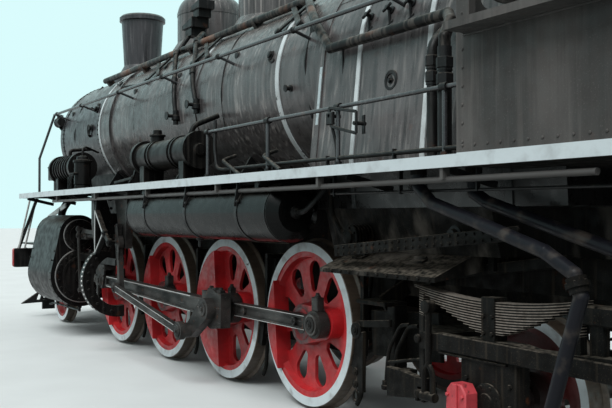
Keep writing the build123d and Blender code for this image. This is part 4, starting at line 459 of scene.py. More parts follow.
nodeFinishes = {
    "boilerPaint": ["boiler", "firebox", "sand_dome", "steam_dome"],
    "smokeboxPaint": ["smokebox", "smokebox_door", "chimney"],
    "bandPaint": ["boiler_bands"],
    "cabSidePaint": ["cab_side_left", "cab_side_right"],
    "cabPaint": ["cab_front", "cab_rear", "cab_roof"],
    "boardPaint": ["running_board_left", "running_board_right"],
    "tankPaint": ["air_tanks"],
    "beamPaint": ["front_beam"],
    "ashpanPaint": ["ashpan"],
    "pipeLagging": ["boiler_pipes"],
    "casting": [
        "cylinder_left", "cylinder_right", "cylinder_saddle", "feed_pump", "air_pump",
        "turbo_generator", "steam_fittings", "front_coupler", "guide_left", "guide_right",
    ],
    "rodSteel": [
        "main_rod_left", "main_rod_right", "coupling_rod_left", "coupling_rod_right", "return_cranks",
        "crosshead_left", "crosshead_right", "eccentric_rod_left", "eccentric_rod_right",
        "expansion_link_left", "expansion_link_right", "valve_rods",
    ],
    "grime": [
        "frame_left", "frame_right", "frame_crossties", "axle_boxes", "brake_gear", "drawbar_box",
        "leading_truck", "cab_floor",
    ],
    "truckPaint": ["trailing_truck"],
    "railPaint": ["handrails"],
    "blackPaint": ["front_deck", "cowcatcher", "cab_seats"],
}


def dress(nodeName, material):
    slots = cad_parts[nodeName].data.materials
    slots.clear()
    slots.append(material)


for finishName, nodeNames in nodeFinishes.items():
    for nodeName in nodeNames:
        dress(nodeName, finishes[finishName])
wheelNodes = [(f"driver_{number}", "driver") for number in (1, 2, 3, 4)]
for nodeName, kind in wheelNodes + [("leading_wheels", "leading"), ("trailing_wheels", "trailing")]:
    low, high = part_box(nodeName)
    size = wheelSizes[kind]
    axle = Vector(((low.x + high.x) / 2, 0, railZ + size["radius"]))
    dress(nodeName, wheelFinish(f"wheelPaint_{nodeName}", axle, size))
print("finishes made")

# Directions, and small helpers for outlines
forward, outward, upward = Vector((1, 0, 0)), Vector((0, 1, 0)), Vector((0, 0, 1))


def spoke(degrees):
    # a direction square to the engine's length, by degrees above the left
    return Vector((0, cos(radians(degrees)), sin(radians(degrees))))


def squareTo(axis):
    # two directions square to an axis
    helper = upward if abs(axis.normalized().z) < 0.9 else forward
    across = helper.cross(axis).normalized()
    return across, axis.normalized().cross(across)


def circle(sides, turn=0.0):
    return [turn + 2 * pi * step / sides for step in range(sides)]


def rectangle(long, high, centre=(0, 0.0)):
    x, y = centre
    return [
        (x - long / 2, y - high / 2), (x + long / 2, y - high / 2), (x + long / 2, y + high / 2),
        (x - long / 2, y + high / 2),
    ]


def arcBand(inner, outer, start, stop, steps=24):
    # a flat ring or part of one, as an outline
    angles = [radians(start + (stop - start) * step / steps) for step in range(steps + 1)]
    near = [(inner * cos(angle), inner * sin(angle)) for angle in angles]
    far = [(outer * cos(angle), outer * sin(angle)) for angle in angles]
    return near + far[::-1]


def inset(outline, edge):
    # every corner moved inward by the edge
    area = sum(a[0] * b[1] - b[0] * a[1] for a, b in zip(outline, outline[1:] + outline[:1]))
    turn = 1 if area > 0 else -1
    moved = []
    for place, (x, y) in enumerate(outline):
        before, after = outline[place - 1], outline[(place + 1) % len(outline)]
        first = Vector((x - before[0], y - before[1])).normalized()
        second = Vector((after[0] - x, after[1] - y)).normalized()
        inward = Vector((-first.y - second.y, first.x + second.x)) * turn
        if inward.length < 0.001:
            inward = Vector((-first.y, first.x)) * turn
        inward.normalize()
        reach = edge / max(0.4, inward.dot(Vector((-first.y, first.x)) * turn))
        moved.append((x + inward.x * reach, y + inward.y * reach))
    return moved


def rounded(points, bend):
    # the same route with its corners turned into arcs
    route = [points[0]]
    for before, corner, after in zip(points, points[1:], points[2:]):
        into, away = corner - before, after - corner
        cut = min(bend, into.length * 0.45, away.length * 0.45)
        start, end = corner - into.normalized() * cut, corner + away.normalized() * cut
        for step in range(7):
            share = step / 6
            route.append(start * (1 - share) ** 2 + corner * 2 * share * (1 - share) + end * share**2)
    return route + [points[-1]]


def placed(spot):
    # three plain numbers are an engine place
    return spot if isinstance(spot, Vector) else at(*spot)


class Shape:
    # rings of points joined into one mesh
    def __init__(self, points=(), faces=()):
        self.points, self.faces = list(points), list(faces)

    def turnedOver(self):
        # the same shape on the engine's other side
        flipped = [Vector((spot.x, -spot.y, spot.z)) for spot in self.points]
        return Shape(flipped, [face[::-1] for face in self.faces])

    def mirror(self):
        other, count = self.turnedOver(), len(self.points)
        self.points += other.points
        self.faces += [tuple(corner + count for corner in face) for face in other.faces]

    def loft(self, rings, closed=False):
        first, count = len(self.points), len(rings[0])
        for ring in rings:
            self.points += ring
        steps = len(rings) if closed else len(rings) - 1
        for row in range(steps):
            near, far = first + row * count, first + (row + 1) % len(rings) * count
            for place in range(count):
                beside = (place + 1) % count
                self.faces.append((near + place, near + beside, far + beside, far + place))
        if not closed:
            self.faces.append(tuple(range(first, first + count))[::-1])
            self.faces.append(tuple(range(far, far + count)))

    def lathe(self, origin, axis, profile, sides=24, closed=False):
        # profile: distance along the axis, then radius
        origin = placed(origin)
        across, up = squareTo(axis)
        spokes = [across * cos(angle) + up * sin(angle) for angle in circle(sides)]
        way = axis.normalized()
        self.loft(
            [
                [origin + way * along + spoke * radius for spoke in spokes]
                for along, radius in profile
            ], closed,
        )

    def hoop(self, origin, axis, radius, width, thick, sides=64):
        # a flat band around an axis
        ends = (
            (-width / 2, radius), (width / 2, radius), (width / 2, radius + thick),
            (-width / 2, radius + thick),
        )
        self.lathe(origin, axis, ends, sides, closed=True)

    def tube(self, points, radius, bend=0.0, sides=10):
        points = [placed(spot) for spot in points]
        route = rounded(points, bend) if bend else points
        ways = [(after - before).normalized() for before, after in zip(route, route[1:])]
        turned = [ways[0]] + [(a + b).normalized() for a, b in zip(ways, ways[1:])] + [ways[-1]]
        across = squareTo(ways[0])[0]
        rings = []
        for spot, way in zip(route, turned):
            across = (across - way * across.dot(way)).normalized()
            up = way.cross(across)
            rings.append([spot + (across * cos(angle) + up * sin(angle)) * radius for angle in circle(sides)])
        self.loft(rings)

    def plate(self, outline, origin, across, up, depth, edge=0.0):
        # an outline raised by depth, its edges eased
        away = across.cross(up).normalized() * (1 if depth > 0 else -1)
        depth = abs(depth)
        levels = [(outline, 0.0), (outline, depth)]
        if edge:
            small = inset(outline, edge)
            levels = [(small, 0.0), (outline, edge), (outline, depth - edge), (small, depth)]
        origin = placed(origin)
        self.loft(
            [[origin + across * x + up * y + away * level for x, y in points] for points, level in levels]
        )

    def bar(self, start, end, high, thick, edge=0.002, facing=outward):
        # a flat bar, thick along facing
        start, end = placed(start), placed(end)
        way = (end - start).normalized()
        up = facing.cross(way).normalized()
        away = way.cross(up).normalized()
        outline = [
            (0, -high / 2), (
                (end - start).length, -high / 2,
            ), ((end - start).length, high / 2), (0, high / 2),
        ]
        self.plate(outline, start - away * thick / 2, way, up, thick, edge)

    def block(self, middle, size, edge=0.004):
        long, wide, high = size
        self.plate(rectangle(long, high), placed(middle) + outward * wide / 2, forward, upward, wide, edge)

    def bolts(self, places, axis, size=0.014, sides=6):
        for place in places:
            self.lathe(place, axis, [(-0.004, size), (size * 0.6, size), (size * 0.85, size * 0.8)], sides)

    def boltCircle(self, middle, axis, radius, count, size=0.014, skip=None):
        across, up = squareTo(axis)
        for angle in circle(count, pi / count):
            place = placed(middle) + (across * cos(angle) + up * sin(angle)) * radius
            if not (skip and skip(place)):
                self.bolts([place], axis, size)

    def ring(self, middle, across, up, thick, count, sides=8):
        # a closed loop of round bar
        spots = [placed(middle) + across * cos(angle) + up * sin(angle) for angle in circle(count)]
        self.tube(spots + spots[:1], thick, sides=sides)

    def nut(self, place, axis, radius, height):
        # a stepped cap with a hexagon on it
        self.lathe(place, axis, [(-0.003, radius), (height * 0.4, radius), (height * 0.5, radius * 0.9)], 24)
        self.lathe(
            place, axis,
            [(height * 0.4, radius * 0.55), (height * 0.9, radius * 0.55), (height, radius * 0.45)], 6,
        )


def along(start, end, count):
    start, end = placed(start), placed(end)
    return [start + (end - start) * step / (count - 1) for step in range(count)]


slotNames = {
    "casting": "cast_iron", "grime": "cast_iron", "rodSteel": "rod_steel", "paintedHighlight": "rod_steel",
    "brass": "rod_steel", "boilerPaint": "boiler_paint", "blackPaint": "black_paint",
    "ashpanPaint": "black_paint", "cabPaint": "cab_paint", "paleStrip": "pale_paint",
    "lampGlass": "pale_paint", "dialWhite": "pale_paint", "hubRed": "wheel_paint", "boxRed": "wheel_paint",
    "seatWood": "seat_cloth", "seatLeather": "seat_cloth",
}


def piece(name, shape, finishName, body="root", slotName=None):
    mesh = bpy.data.meshes.new(name)
    mesh.from_pydata(shape.points, [], shape.faces)
    net = bmesh.new()
    net.from_mesh(mesh)
    bmesh.ops.recalc_face_normals(net, faces=net.faces)
    net.to_mesh(mesh)
    net.free()
    mesh.shade_smooth()
    mesh.set_sharp_from_angle(angle=radians(32))
    mesh.materials.append(finishes[finishName])
    made = bpy.data.objects.new(name, mesh)
    bpy.context.scene.collection.objects.link(made)
    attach(made, body)
    slotName = slotName or slotNames[finishName]
    return made


def both(name, shape, finishName, **rest):
    # a left half and its mirror image in one piece
    shape.mirror()
    piece(name, shape, finishName, **rest)


def pair(name, shape, finishName):
    # a left piece and its mirror image
    piece(f"{name}_left", shape, finishName)
    piece(f"{name}_right", shape.turnedOver(), finishName)


# Places shared by the motion: driving axles, crank pins, wrist pins and the link's foot
motion = {
    "pitch": 1.524, "axleZ": 0.685, "crank": 0.355, "angles": {1: 174.0, -1: 84.0}, "mainAxle": 2,
    "rodLength": 3.15, "crossheadZ": 0.8, "returnLength": 0.382, "returnTurn": 150.5,
    "linkX": -1.215, "linkZ": 1.29, "linkDrop": 0.51, "eccentricLength": 1.841,
}
pitch, axleZ, mainAxle = motion["pitch"], motion["axleZ"], motion["mainAxle"]
pinOffset, returnOffset, wristX, footPlace = {}, {}, {}, {}
for side, angle in motion["angles"].items():
    turn = radians(angle)
    pinOffset[side] = (motion["crank"] * cos(turn), motion["crank"] * sin(turn))
    turn = radians(angle + motion["returnTurn"])
    returnX = pinOffset[side][0] + motion["returnLength"] * cos(turn)
    returnZ = pinOffset[side][1] + motion["returnLength"] * sin(turn)
    mainX = -pitch * mainAxle
    returnOffset[side] = (mainX + returnX, axleZ + returnZ)
    rise = motion["crossheadZ"] - axleZ - pinOffset[side][1]
    wristX[side] = mainX + pinOffset[side][0] + sqrt(motion["rodLength"] ** 2 - rise**2)
    # the link's foot is where the eccentric rod and the link meet
    awayX, awayZ = returnOffset[side][0] - motion["linkX"], returnOffset[side][1] - motion["linkZ"]
    away = sqrt(awayX**2 + awayZ**2)
    drop, length = motion["linkDrop"], motion["eccentricLength"]
    heading = atan2(awayZ, awayX) + acos((drop**2 + away**2 - length**2) / (2 * drop * away))
    footPlace[side] = (motion["linkX"] + drop * cos(heading), motion["linkZ"] + drop * sin(heading))

# Crank pins, hubs and collars on the coupled wheels
wheelTrim = {"collarFace": 0.9983, "hubFace": 0.866, "hub": 0.128, "returnFace": 1.2283}
for number in range(4):
    steel, red = Shape(), Shape()
    for side in (1, -1):
        away = outward * side
        pinX, pinZ = pinOffset[side]
        axleAt = at(-pitch * number, side * wheelTrim["hubFace"], axleZ)
        red.lathe(
            axleAt, away,
            [(-0.002, 0.136), (0.002, 0.136), (0.004, wheelTrim["hub"]), (0.004, 0.09), (0.001, 0.082)], 36,
        )
        steel.lathe(
            axleAt, away, [(0, 0.078), (0.003, 0.078), (0.004, 0.07), (0.004, 0.03), (0.001, 0.026)], 28,
        )
        pinAt = at(-pitch * number + pinX, 0, axleZ + pinZ)
        face = wheelTrim["returnFace"] if number == mainAxle else wheelTrim["collarFace"]
        steel.lathe(
            pinAt + away * face, away,
            [(-0.002, 0.066), (0.008, 0.066), (0.012, 0.06), (0.012, 0.042), (0.006, 0.038)], 28,
        )
        steel.nut(pinAt + away * (face + 0.006), away, 0.03, 0.016)
        if number == mainAxle:
            steel.boltCircle(pinAt + away * (face + 0.01), away, 0.05, 6, 0.006)
    piece(f"pinCaps_{number + 1}", steel, "rodSteel", f"driver_{number + 1}")
    piece(f"hubDiscs_{number + 1}", red, "hubRed", f"driver_{number + 1}")

# Coupling rods: oil cups over the pins, knuckles, and bright strips along the edges that are painted
# highlights
rodTrim = {"face": 0.97, "middle": 0.925, "half": 0.058, "boss": (0.112, 0.142), "knuckle": 0.31}
for side in (1, -1):
    away = outward * side
    pinX, pinZ = pinOffset[side]
    rodZ = axleZ + pinZ
    dark, highlight = Shape(), Shape()
    for number in range(4):
        boss = rodTrim["boss"][number == mainAxle]
        pinAlong = -pitch * number + pinX
        top = at(pinAlong, side * rodTrim["middle"], rodZ + boss + 0.047)
        if number != mainAxle:
            dark.block(top + upward * 0.003, (0.085, 0.07, 0.11), 0.006)
            top += upward * 0.058
        dark.lathe(
            top, upward, [(-0.002, 0.026), (0.01, 0.026), (0.014, 0.018), (0.03, 0.016), (0.034, 0.01)], 12,
        )
        dark.bolts([top + Vector((offset, side * 0.012, 0)) for offset in (-0.022, 0.022)], upward, 0.007)
        dark.hoop((pinAlong, side * (rodTrim["face"] + 0.002), rodZ), away, boss - 0.022, 0.004, 0.014, 36)
        if number < 3:
            for shift in (-rodTrim["knuckle"], rodTrim["knuckle"] - pitch):
                spot = at(pinAlong + shift, side * rodTrim["face"], rodZ)
                dark.lathe(spot, away, [(-0.024, 0.036), (0.004, 0.036), (0.008, 0.03)], 20)
                dark.nut(spot + away * 0.006, away, 0.02, 0.014)
            # bright strips along the rod's top and bottom edges: painted highlights
            low, high = pinAlong - pitch + 0.14, pinAlong - 0.14
            for level in (rodTrim["half"] - 0.003, -rodTrim["half"] + 0.003):
                start = at(low, side * (rodTrim["face"] + 0.0004), rodZ + level)
                highlight.bar(start, start + forward * (high - low), 0.006, 0.002, 0.0005)
    name = sides[side]
    piece(f"rodFittings_{name}", dark, "rodSteel", f"coupling_rod_{name}")
    piece(f"rodHighlights_{name}", highlight, "paintedHighlight", f"coupling_rod_{name}")

# Main rods: strapped big ends, wedge bolts, oil cups, and bright strips on the flanges that are painted
# highlights
mainTrim = {"face": 1.14, "middle": 1.09, "bigHalf": 0.157, "rear": 0.0825, "front": 0.06, "edge": 0.009}
for side, name in sides.items():
    pinX, pinZ = pinOffset[side]
    big = at(-pitch * mainAxle + pinX, side * mainTrim["middle"], axleZ + pinZ)
    small = at(wristX[side], side * mainTrim["middle"], motion["crossheadZ"])
    way = (small - big).normalized()
    lift = outward.cross(way) * -1
    dark, highlight = Shape(), Shape()
    for shift in (-0.1, 0.1):
        spot = big + way * shift + lift * mainTrim["bigHalf"]
        dark.lathe(spot, lift, [(-0.01, 0.042), (0.022, 0.042), (0.028, 0.034)], 6)
        dark.lathe(spot, lift, [(0.02, 0.022), (0.044, 0.022), (0.048, 0.016)], 8)
    dark.block(big + lift * 0.175, (0.07, 0.06, 0.04), 0.006)
    dark.lathe(small + lift * 0.096, lift, [(0, 0.02), (0.03, 0.02), (0.034, 0.012)], 12)
    # bright strips along the flanges' outer edges: painted highlights
    length = (small - big).length
    for face in (1, -1):
        origin = big + outward * side * (mainTrim["face"] - mainTrim["middle"]) * face
        for sign in (1, -1):
            outline = []
            for spot, inward in ((0.48, 0), (length - 0.17, 0), (length - 0.17, 1), (0.48, 1)):
                half = mainTrim["rear"] + (mainTrim["front"] - mainTrim["rear"]) * spot / length
                outline.append((spot, sign * (half - inward * mainTrim["edge"])))
            highlight.plate(outline, origin, way, lift, -0.0015 * side * face)
    piece(f"mainRodFittings_{name}", dark, "rodSteel", f"main_rod_{name}")
    piece(f"mainRodHighlights_{name}", highlight, "paintedHighlight", f"main_rod_{name}")

# Valve gear: caps on the eccentric rods, frames on the links, and the fixed rods beside the chests
gearTrim = {"rodFace": 1.3466, "linkFace": 1.2846, "radiusY": 1.165, "leverY": 1.228}
for side, name in sides.items():
    away = outward * side
    endX, endZ = returnOffset[side]
    footX, footZ = footPlace[side]
    caps = Shape()
    for (x, z), radius in (((endX, endZ), 0.062), ((footX, footZ), 0.036)):
        spot = at(x, side * gearTrim["rodFace"], z)
        caps.lathe(spot, away, [(-0.002, radius), (0.008, radius), (0.012, radius * 0.88)], 28)
        caps.nut(spot + away * 0.008, away, radius * 0.5, 0.018)
    caps.boltCircle((endX, side * (gearTrim["rodFace"] + 0.01), endZ), away, 0.046, 6, 0.006)
    piece(f"eccentricCaps_{name}", caps, "rodSteel", f"eccentric_rod_{name}")
    # bright strips along the eccentric rod's edges: painted highlights
    edges = Shape()
    start, end = (at(x, side * (gearTrim["rodFace"] + 0.0004), z) for x, z in ((endX, endZ), (footX, footZ)))
    way = (end - start).normalized()
    for level in (0.033, -0.033):
        shift = Vector((-way.z, 0, way.x)) * level
        edges.bar(start + way * 0.1 + shift, end - way * 0.07 + shift, 0.006, 0.002, 0.0005)
    piece(f"eccentricHighlights_{name}", edges, "paintedHighlight", f"eccentric_rod_{name}")
    # the link: a bolted frame with a curved slot
    frameShape = Shape()
    pivot = at(motion["linkX"], side * gearTrim["linkFace"], motion["linkZ"])
    down = Vector((footX - motion["linkX"], 0, footZ - motion["linkZ"])).normalized()
    beside = Vector((-down.z, 0, down.x))
    for sign in (1, -1):
        rail = [
            pivot + down * spot + beside * sign * (0.026 + 0.012 * (1 - (spot / 0.22) ** 2))
            for spot in (-0.19, -0.1, 0.0, 0.1, 0.19)
        ]
        for first, second in zip(rail, rail[1:]):
            frameShape.bar(first, second, 0.018, 0.008, 0.001)
        frameShape.bolts([rail[0] + away * 0.004, rail[4] + away * 0.004], away, 0.009)
    frameShape.nut(pivot, away, 0.04, 0.016)
    piece(f"linkFrame_{name}", frameShape, "rodSteel", f"expansion_link_{name}")
# radius rod, stem guide and combination lever, all fixed
rods = Shape()
rods.bar((-1.19, gearTrim["radiusY"], 1.33), (0.44, gearTrim["radiusY"], 1.4), 0.055, 0.028)
rods.block((0.44, 1.12, 1.335), (0.17, 0.09, 0.1), 0.008)
rods.bolts([(0.38 + 0.12 * step, 1.165, 1.335) for step in (0, 1)], outward, 0.012)
rods.bar((0.44, gearTrim["leverY"], 1.46), (0.34, gearTrim["leverY"], 0.62), 0.05, 0.024)
for x, z in ((0.44, 1.42), (0.428, 1.335), (0.345, 0.64)):
    rods.lathe((x, 1.16, z), outward, [(0, 0.024), (0.088, 0.024), (0.092, 0.018)], 16)
    rods.nut((x, 1.245, z), outward, 0.03, 0.014)
pair("radiusRod", rods, "rodSteel")

# Crossheads: wrist pin nuts, cheek bolts and drop arms
crossTrim = {"face": 1.1644, "nut": 0.06, "armDrop": 0.3}
for side, name in sides.items():
    away = outward * side
    wrist = at(wristX[side], side * crossTrim["face"], motion["crossheadZ"])
    made = Shape()
    made.lathe(wrist, away, [(-0.002, 0.078), (0.006, 0.078), (0.01, 0.07)], 32)
    made.nut(wrist + away * 0.008, away, crossTrim["nut"], 0.026)
    made.bolts([wrist + Vector((x, 0, z)) for x in (-0.12, 0.12) for z in (0.06, 0.15)], away, 0.013)
    made.bar(
        wrist + Vector((0.03, 0, -0.06)) + away * 0.012,
        wrist + Vector((0.05, 0, -crossTrim["armDrop"])) + away * 0.012, 0.056, 0.022,
    )
    made.nut(wrist + Vector((0.05, 0, 0.01 - crossTrim["armDrop"])) + away * 0.022, away, 0.024, 0.012)
    made.lathe(
        wrist + Vector((0.16, 0, 0)) - away * 0.0744, forward, [
            (0, 0.082), (0.028, 0.082), (0.034, 0.07),
        ], 24,
    )
    piece(f"crossheadFittings_{name}", made, "rodSteel", f"crosshead_{name}")

# Cylinders: bolted covers, chest covers, drain cocks and riveted casings
cylinderTrim = {
    "y": 1.09, "z": 0.8, "chestY": 1.12, "chestZ": 1.335, "rear": 0.693, "front": 1.962, "coverBolts": 20,
}
boreY, boreZ, chestY, chestZ = (cylinderTrim[key] for key in ("y", "z", "chestY", "chestZ"))
made, highlight = Shape(), Shape()
for end, axis in ((cylinderTrim["rear"], -forward), (cylinderTrim["front"], forward)):
    middle = at(end, boreY, boreZ)
    chest = at(end, chestY, chestZ)
    nearGuide = lambda spot: end < 1 and spot.z > railZ + 0.98 and abs(spot.y - boreY) < 0.09
    made.boltCircle(middle, axis, 0.316, cylinderTrim["coverBolts"], 0.017, nearGuide)
    made.hoop(middle + axis * 0.003, axis, 0.235, 0.016, 0.03, 48)
    made.boltCircle(chest, axis, 0.18, 12, 0.014)
    made.hoop(chest + axis * 0.004, axis, 0.12, 0.02, 0.022, 40)
    # bright rings round the casing's and the chest's ends: painted highlights
    casing = at(end, boreY, boreZ) - axis * 0.037
    highlight.hoop(casing, axis, 0.347, 0.006, 0.01, 56)
    highlight.hoop(chest - axis * 0.037, axis, 0.207, 0.006, 0.008, 48)
made.lathe((0.651, chestY, chestZ), -forward, [(0, 0.058), (0.03, 0.058), (0.036, 0.045)], 24)
# front chest cover's domed cap with its oil pipe
cap = at(cylinderTrim["front"], chestY, chestZ)
made.lathe(cap, forward, [(0, 0.115), (0.03, 0.11), (0.05, 0.08), (0.06, 0.03)], 32)
made.nut((cylinderTrim["front"], boreY, boreZ), forward, 0.09, 0.05)
# casing rivets and joint strips, around the outer side
for place in (0.775, 1.88):
    spots = [
        (boreY + 0.411 * cos(radians(turn)), boreZ + 0.411 * sin(radians(turn)))
        for turn in range(-78, 12, 12)
    ]
    spots += [
        (chestY + 0.269 * cos(radians(turn)), chestZ + 0.269 * sin(radians(turn)))
        for turn in range(24, 90, 22)
    ]
    spots += [(1.497 - 0.11 * share, 0.96 + 0.34 * share) for share in (0.15, 0.5, 0.85)]
    for y, z in spots:
        made.lathe(
            (place, y, z), Vector((0, y - 1.0, (z - 1.0) * 0.6)),
            [(-0.012, 0.011), (0.002, 0.011), (0.006, 0.006)], 8,
        )
for place in (0.82, 1.33, 1.84):
    made.lathe(
        (place, 1.09, 0.392), -upward,
        [(0, 0.03), (0.03, 0.03), (0.034, 0.018), (0.075, 0.018), (0.08, 0.012)], 14,
    )
made.tube([(0.82, 1.09, 0.33), (2.02, 1.09, 0.33), (2.16, 1.12, 0.3)], 0.014, 0.05)
# steam pipe beside the chest
made.tube([(2.05, 0.98, 1.17), (2.08, 0.98, 1.66), (2.02, 0.86, 1.86)], 0.055, 0.1, 16)
made.lathe((2.05, 0.98, 1.175), upward, [(0, 0.085), (0.026, 0.085), (0.032, 0.07)], 24)
made.boltCircle((2.05, 0.98, 1.2), upward, 0.074, 6, 0.01)
pair("cylinderFittings", made, "casting")
pair("coverRingHighlights", highlight, "paintedHighlight")

# Yokes and guide bars: hoops, with bolts round the rim and a thin arc on it painted bright as highlights, oil
# cups, and the triangular bracket with strips of painted highlight on its bars
guideTrim = {"yokeX": -0.755, "y": 1.1, "z": 0.83, "rim": 0.434, "barTop": 1.095}
made, highlight = Shape(), Shape()
hub = at(guideTrim["yokeX"], guideTrim["y"], guideTrim["z"])
for turn in range(-76, 60, 15):
    spot = hub + spoke(turn) * 0.375
    made.lathe(spot, -forward, [(-0.002, 0.019), (0.012, 0.019), (0.016, 0.014)], 6)
for turn in range(-56, 62, 7):
    way = spoke(turn)
    highlight.bolts([hub + way * guideTrim["rim"] + forward * 0.03], way, 0.013)
highlight.plate(arcBand(0.3045, 0.312, -76, 50), hub + forward * 0.001, outward, upward, 0.003)
for place in (-0.4, 0.35):
    cup = at(place, 1.09, guideTrim["barTop"])
    made.lathe(cup, upward, [(0, 0.03), (0.03, 0.03), (0.036, 0.02), (0.05, 0.018)], 16)
made.bolts(
    [(place, 1.09 + shift, guideTrim["barTop"]) for place in (0.56, 0.63) for shift in (-0.03, 0.03)], upward,
    0.014,
)
made.bolts(
    [(guideTrim["yokeX"], 1.2 + 0.07 * step, 1.2 + 0.16 * row) for step in (0, 1) for row in range(4)],
    -forward, 0.018,
)
corners = [(-0.775, 1.65), (-1.06, 1.39), (-0.775, 1.16)]
for first, second in zip(corners, corners[1:] + corners[:1]):
    made.bar((first[0], 1.375, first[1]), (second[0], 1.375, second[1]), 0.05, 0.05, 0.003)
    highlight.bar((first[0], 1.401, first[1]), (second[0], 1.401, second[1]), 0.016, 0.004, 0.001)
made.bar((-0.775, 1.375, 1.62), (-0.775, 1.36, 1.86), 0.06, 0.05)
made.bar((-0.775, 1.4, 1.165), (-0.775, 1.22, 1.15), 0.05, 0.05, 0.003, forward)
made.bar((-1.06, 1.375, 1.39), (-1.215, 1.375, 1.29), 0.06, 0.03, 0.003)
for x, z in ((-1.06, 1.39), (-1.215, 1.29)):
    made.lathe((x, 1.355, z), outward, [(0, 0.045), (0.04, 0.045), (0.046, 0.036)], 20)
    made.nut((x, 1.398, z), outward, 0.028, 0.014)
made.tube([(-1.215, 1.31, 1.29), (-1.215, 1.36, 1.29)], 0.02)
pair("guideFittings", made, "casting")
pair("guideHighlights", highlight, "paintedHighlight")
print("motion and cylinders dressed")

# The boiler's outline: its axis above the rail, radii, and where they change
boilerShape = {
    "axis": 2.76, "smokebox": 0.85, "front": 0.872, "rear": 0.905, "firebox": 0.93, "joint": 0.7,
    "throat": -4.94,
}
boilerAxis, smokeboxRadius = boilerShape["axis"], boilerShape["smokebox"]


def skin(place, degrees, lift=0.0):
    # a place on the cladding, or lifted off it
    joint, throat, front = (boilerShape[key] for key in ("joint", "throat", "front"))
    radius = boilerShape["smokebox" if place > joint else "firebox"]
    if throat < place <= joint:
        radius = front + (boilerShape["rear"] - front) * ((joint - place) / (joint - throat))
    radius += lift
    turn = radians(degrees)
    return at(place, radius * cos(turn), boilerAxis + radius * sin(turn))


def ball(shape, middle, radius, axis=upward, sides=14):
    steps = [radians(-84 + 24 * step) for step in range(8)]
    shape.lathe(middle, axis, [(radius * sin(step), radius * cos(step)) for step in steps], sides)


# Cladding: sheet joints with small rivets along the barrel and firebox
claddingTrim = {"seams": [(0.62, -4.9, 30), (-5.02, -7.18, 34)], "pitch": 0.13, "half": 0.016}
cladding = Shape()
for start, end, degrees in claddingTrim["seams"]:
    first, last = skin(start, degrees, 0.0005), skin(end, degrees, 0.0005)
    cladding.bar(first, last, 2 * claddingTrim["half"], 0.006, 0.001, spoke(degrees))
    count = int((start - end) / claddingTrim["pitch"])
    for spot in along(first, last, count):
        cladding.lathe(spot, spoke(degrees), [(-0.002, 0.008), (0.004, 0.008), (0.007, 0.005)], 8)
for place in (-0.62, -1.47, -3.31, -3.98):
    ring = [skin(place, degrees, -0.001) for degrees in range(-48, 78, 6)]
    cladding.tube(ring, 0.004, sides=6)
both("claddingSeams", cladding, "boilerPaint")

# Smokebox: rivet rows, front hoop, door dogs, ring handles and hinge straps
smokeboxTrim = {
    "rivetRows": (0.76, 0.82, 2.42, 2.47), "rivets": 84, "dogs": 14, "dogRadius": 0.7, "hoop": 2.44,
}
made = Shape()
made.ring((1.14, 0.875, 2.78), forward * 0.035, upward * 0.075, 0.011, 20)
made.lathe((1.14, 0.845, 2.7), outward, [(0, 0.02), (0.03, 0.02)], 10)
made.tube([(1.1, 0.8, 3.06), (1.1, 0.86, 3.08)], 0.02)
made.tube([(1.0, 0.87, 3.07), (1.2, 0.87, 3.09)], 0.017)
made.mirror()
for place in smokeboxTrim["rivetRows"]:
    for angle in circle(smokeboxTrim["rivets"]):
        degrees = angle * 180 / pi
        made.lathe(skin(place, degrees), spoke(degrees), [(-0.004, 0.013), (0.005, 0.012), (0.009, 0.006)], 8)
made.hoop((smokeboxTrim["hoop"], 0, boilerAxis), forward, smokeboxRadius + 0.0005, 0.02, 0.006, 80)
for angle in circle(smokeboxTrim["dogs"], 0.1):
    if abs(sin(angle)) < 0.3 and cos(angle) < 0:
        continue
    out = Vector((0, cos(angle), sin(angle)))
    spot = at(2.65, 0, boilerAxis) + out * smokeboxTrim["dogRadius"]
    made.bar(
        spot - out * 0.02 + forward * 0.04, spot + out * 0.075 + forward * 0.04, 0.05, 0.022, 0.004, forward,
    )
    made.nut(spot + out * 0.028 + forward * 0.05, forward, 0.026, 0.03)
piece("smokeboxRivets", made, "blackPaint")
door = Shape()
doorFace = at(2.742, 0, boilerAxis)
door.lathe(doorFace + forward * -0.004, forward, [(0, 0.07), (0.03, 0.068), (0.04, 0.05), (0.06, 0.02)], 28)
for turn in (40, 160):
    way = spoke(turn)
    door.tube([doorFace + forward * 0.05, doorFace + forward * 0.06 + way * 0.2], 0.013)
    ball(door, doorFace + forward * 0.06 + way * 0.2, 0.02)
for level in (2.42, 3.1):
    door.bar((2.7, -0.62, level), (2.725, 0.1, level), 0.06, 0.016, 0.003, forward)
    door.bolts([(2.715 + 0.004 * step, -0.5 + 0.14 * step, level) for step in range(4)], forward, 0.014)
piece("doorStraps", door, "blackPaint", "smokebox_door")

# Chimney: rim ring, rivets at its foot and a petticoat edge
chimneyTrim = {"x": 1.38, "rings": ((4.4, 0.292), (3.7, 0.262)), "foot": 0.35, "footBolts": 18}
made = Shape()
for height, radius in chimneyTrim["rings"]:
    made.lathe(
        (chimneyTrim["x"], 0, height), upward,
        [(-0.012, radius - 0.02), (-0.012, radius), (0.012, radius), (0.012, radius - 0.02)], 48,
    )
for angle in circle(chimneyTrim["footBolts"], 0.1):
    way = Vector((cos(angle), sin(angle), 0))
    foot = at(chimneyTrim["x"], 0, 0) + way * chimneyTrim["foot"]
    drop = sqrt(smokeboxRadius ** 2 - (chimneyTrim["foot"] * sin(angle)) ** 2)
    made.bolts([foot + upward * (boilerAxis + drop + 0.012)], upward, 0.014)
piece("chimneyTrim", made, "boilerPaint")

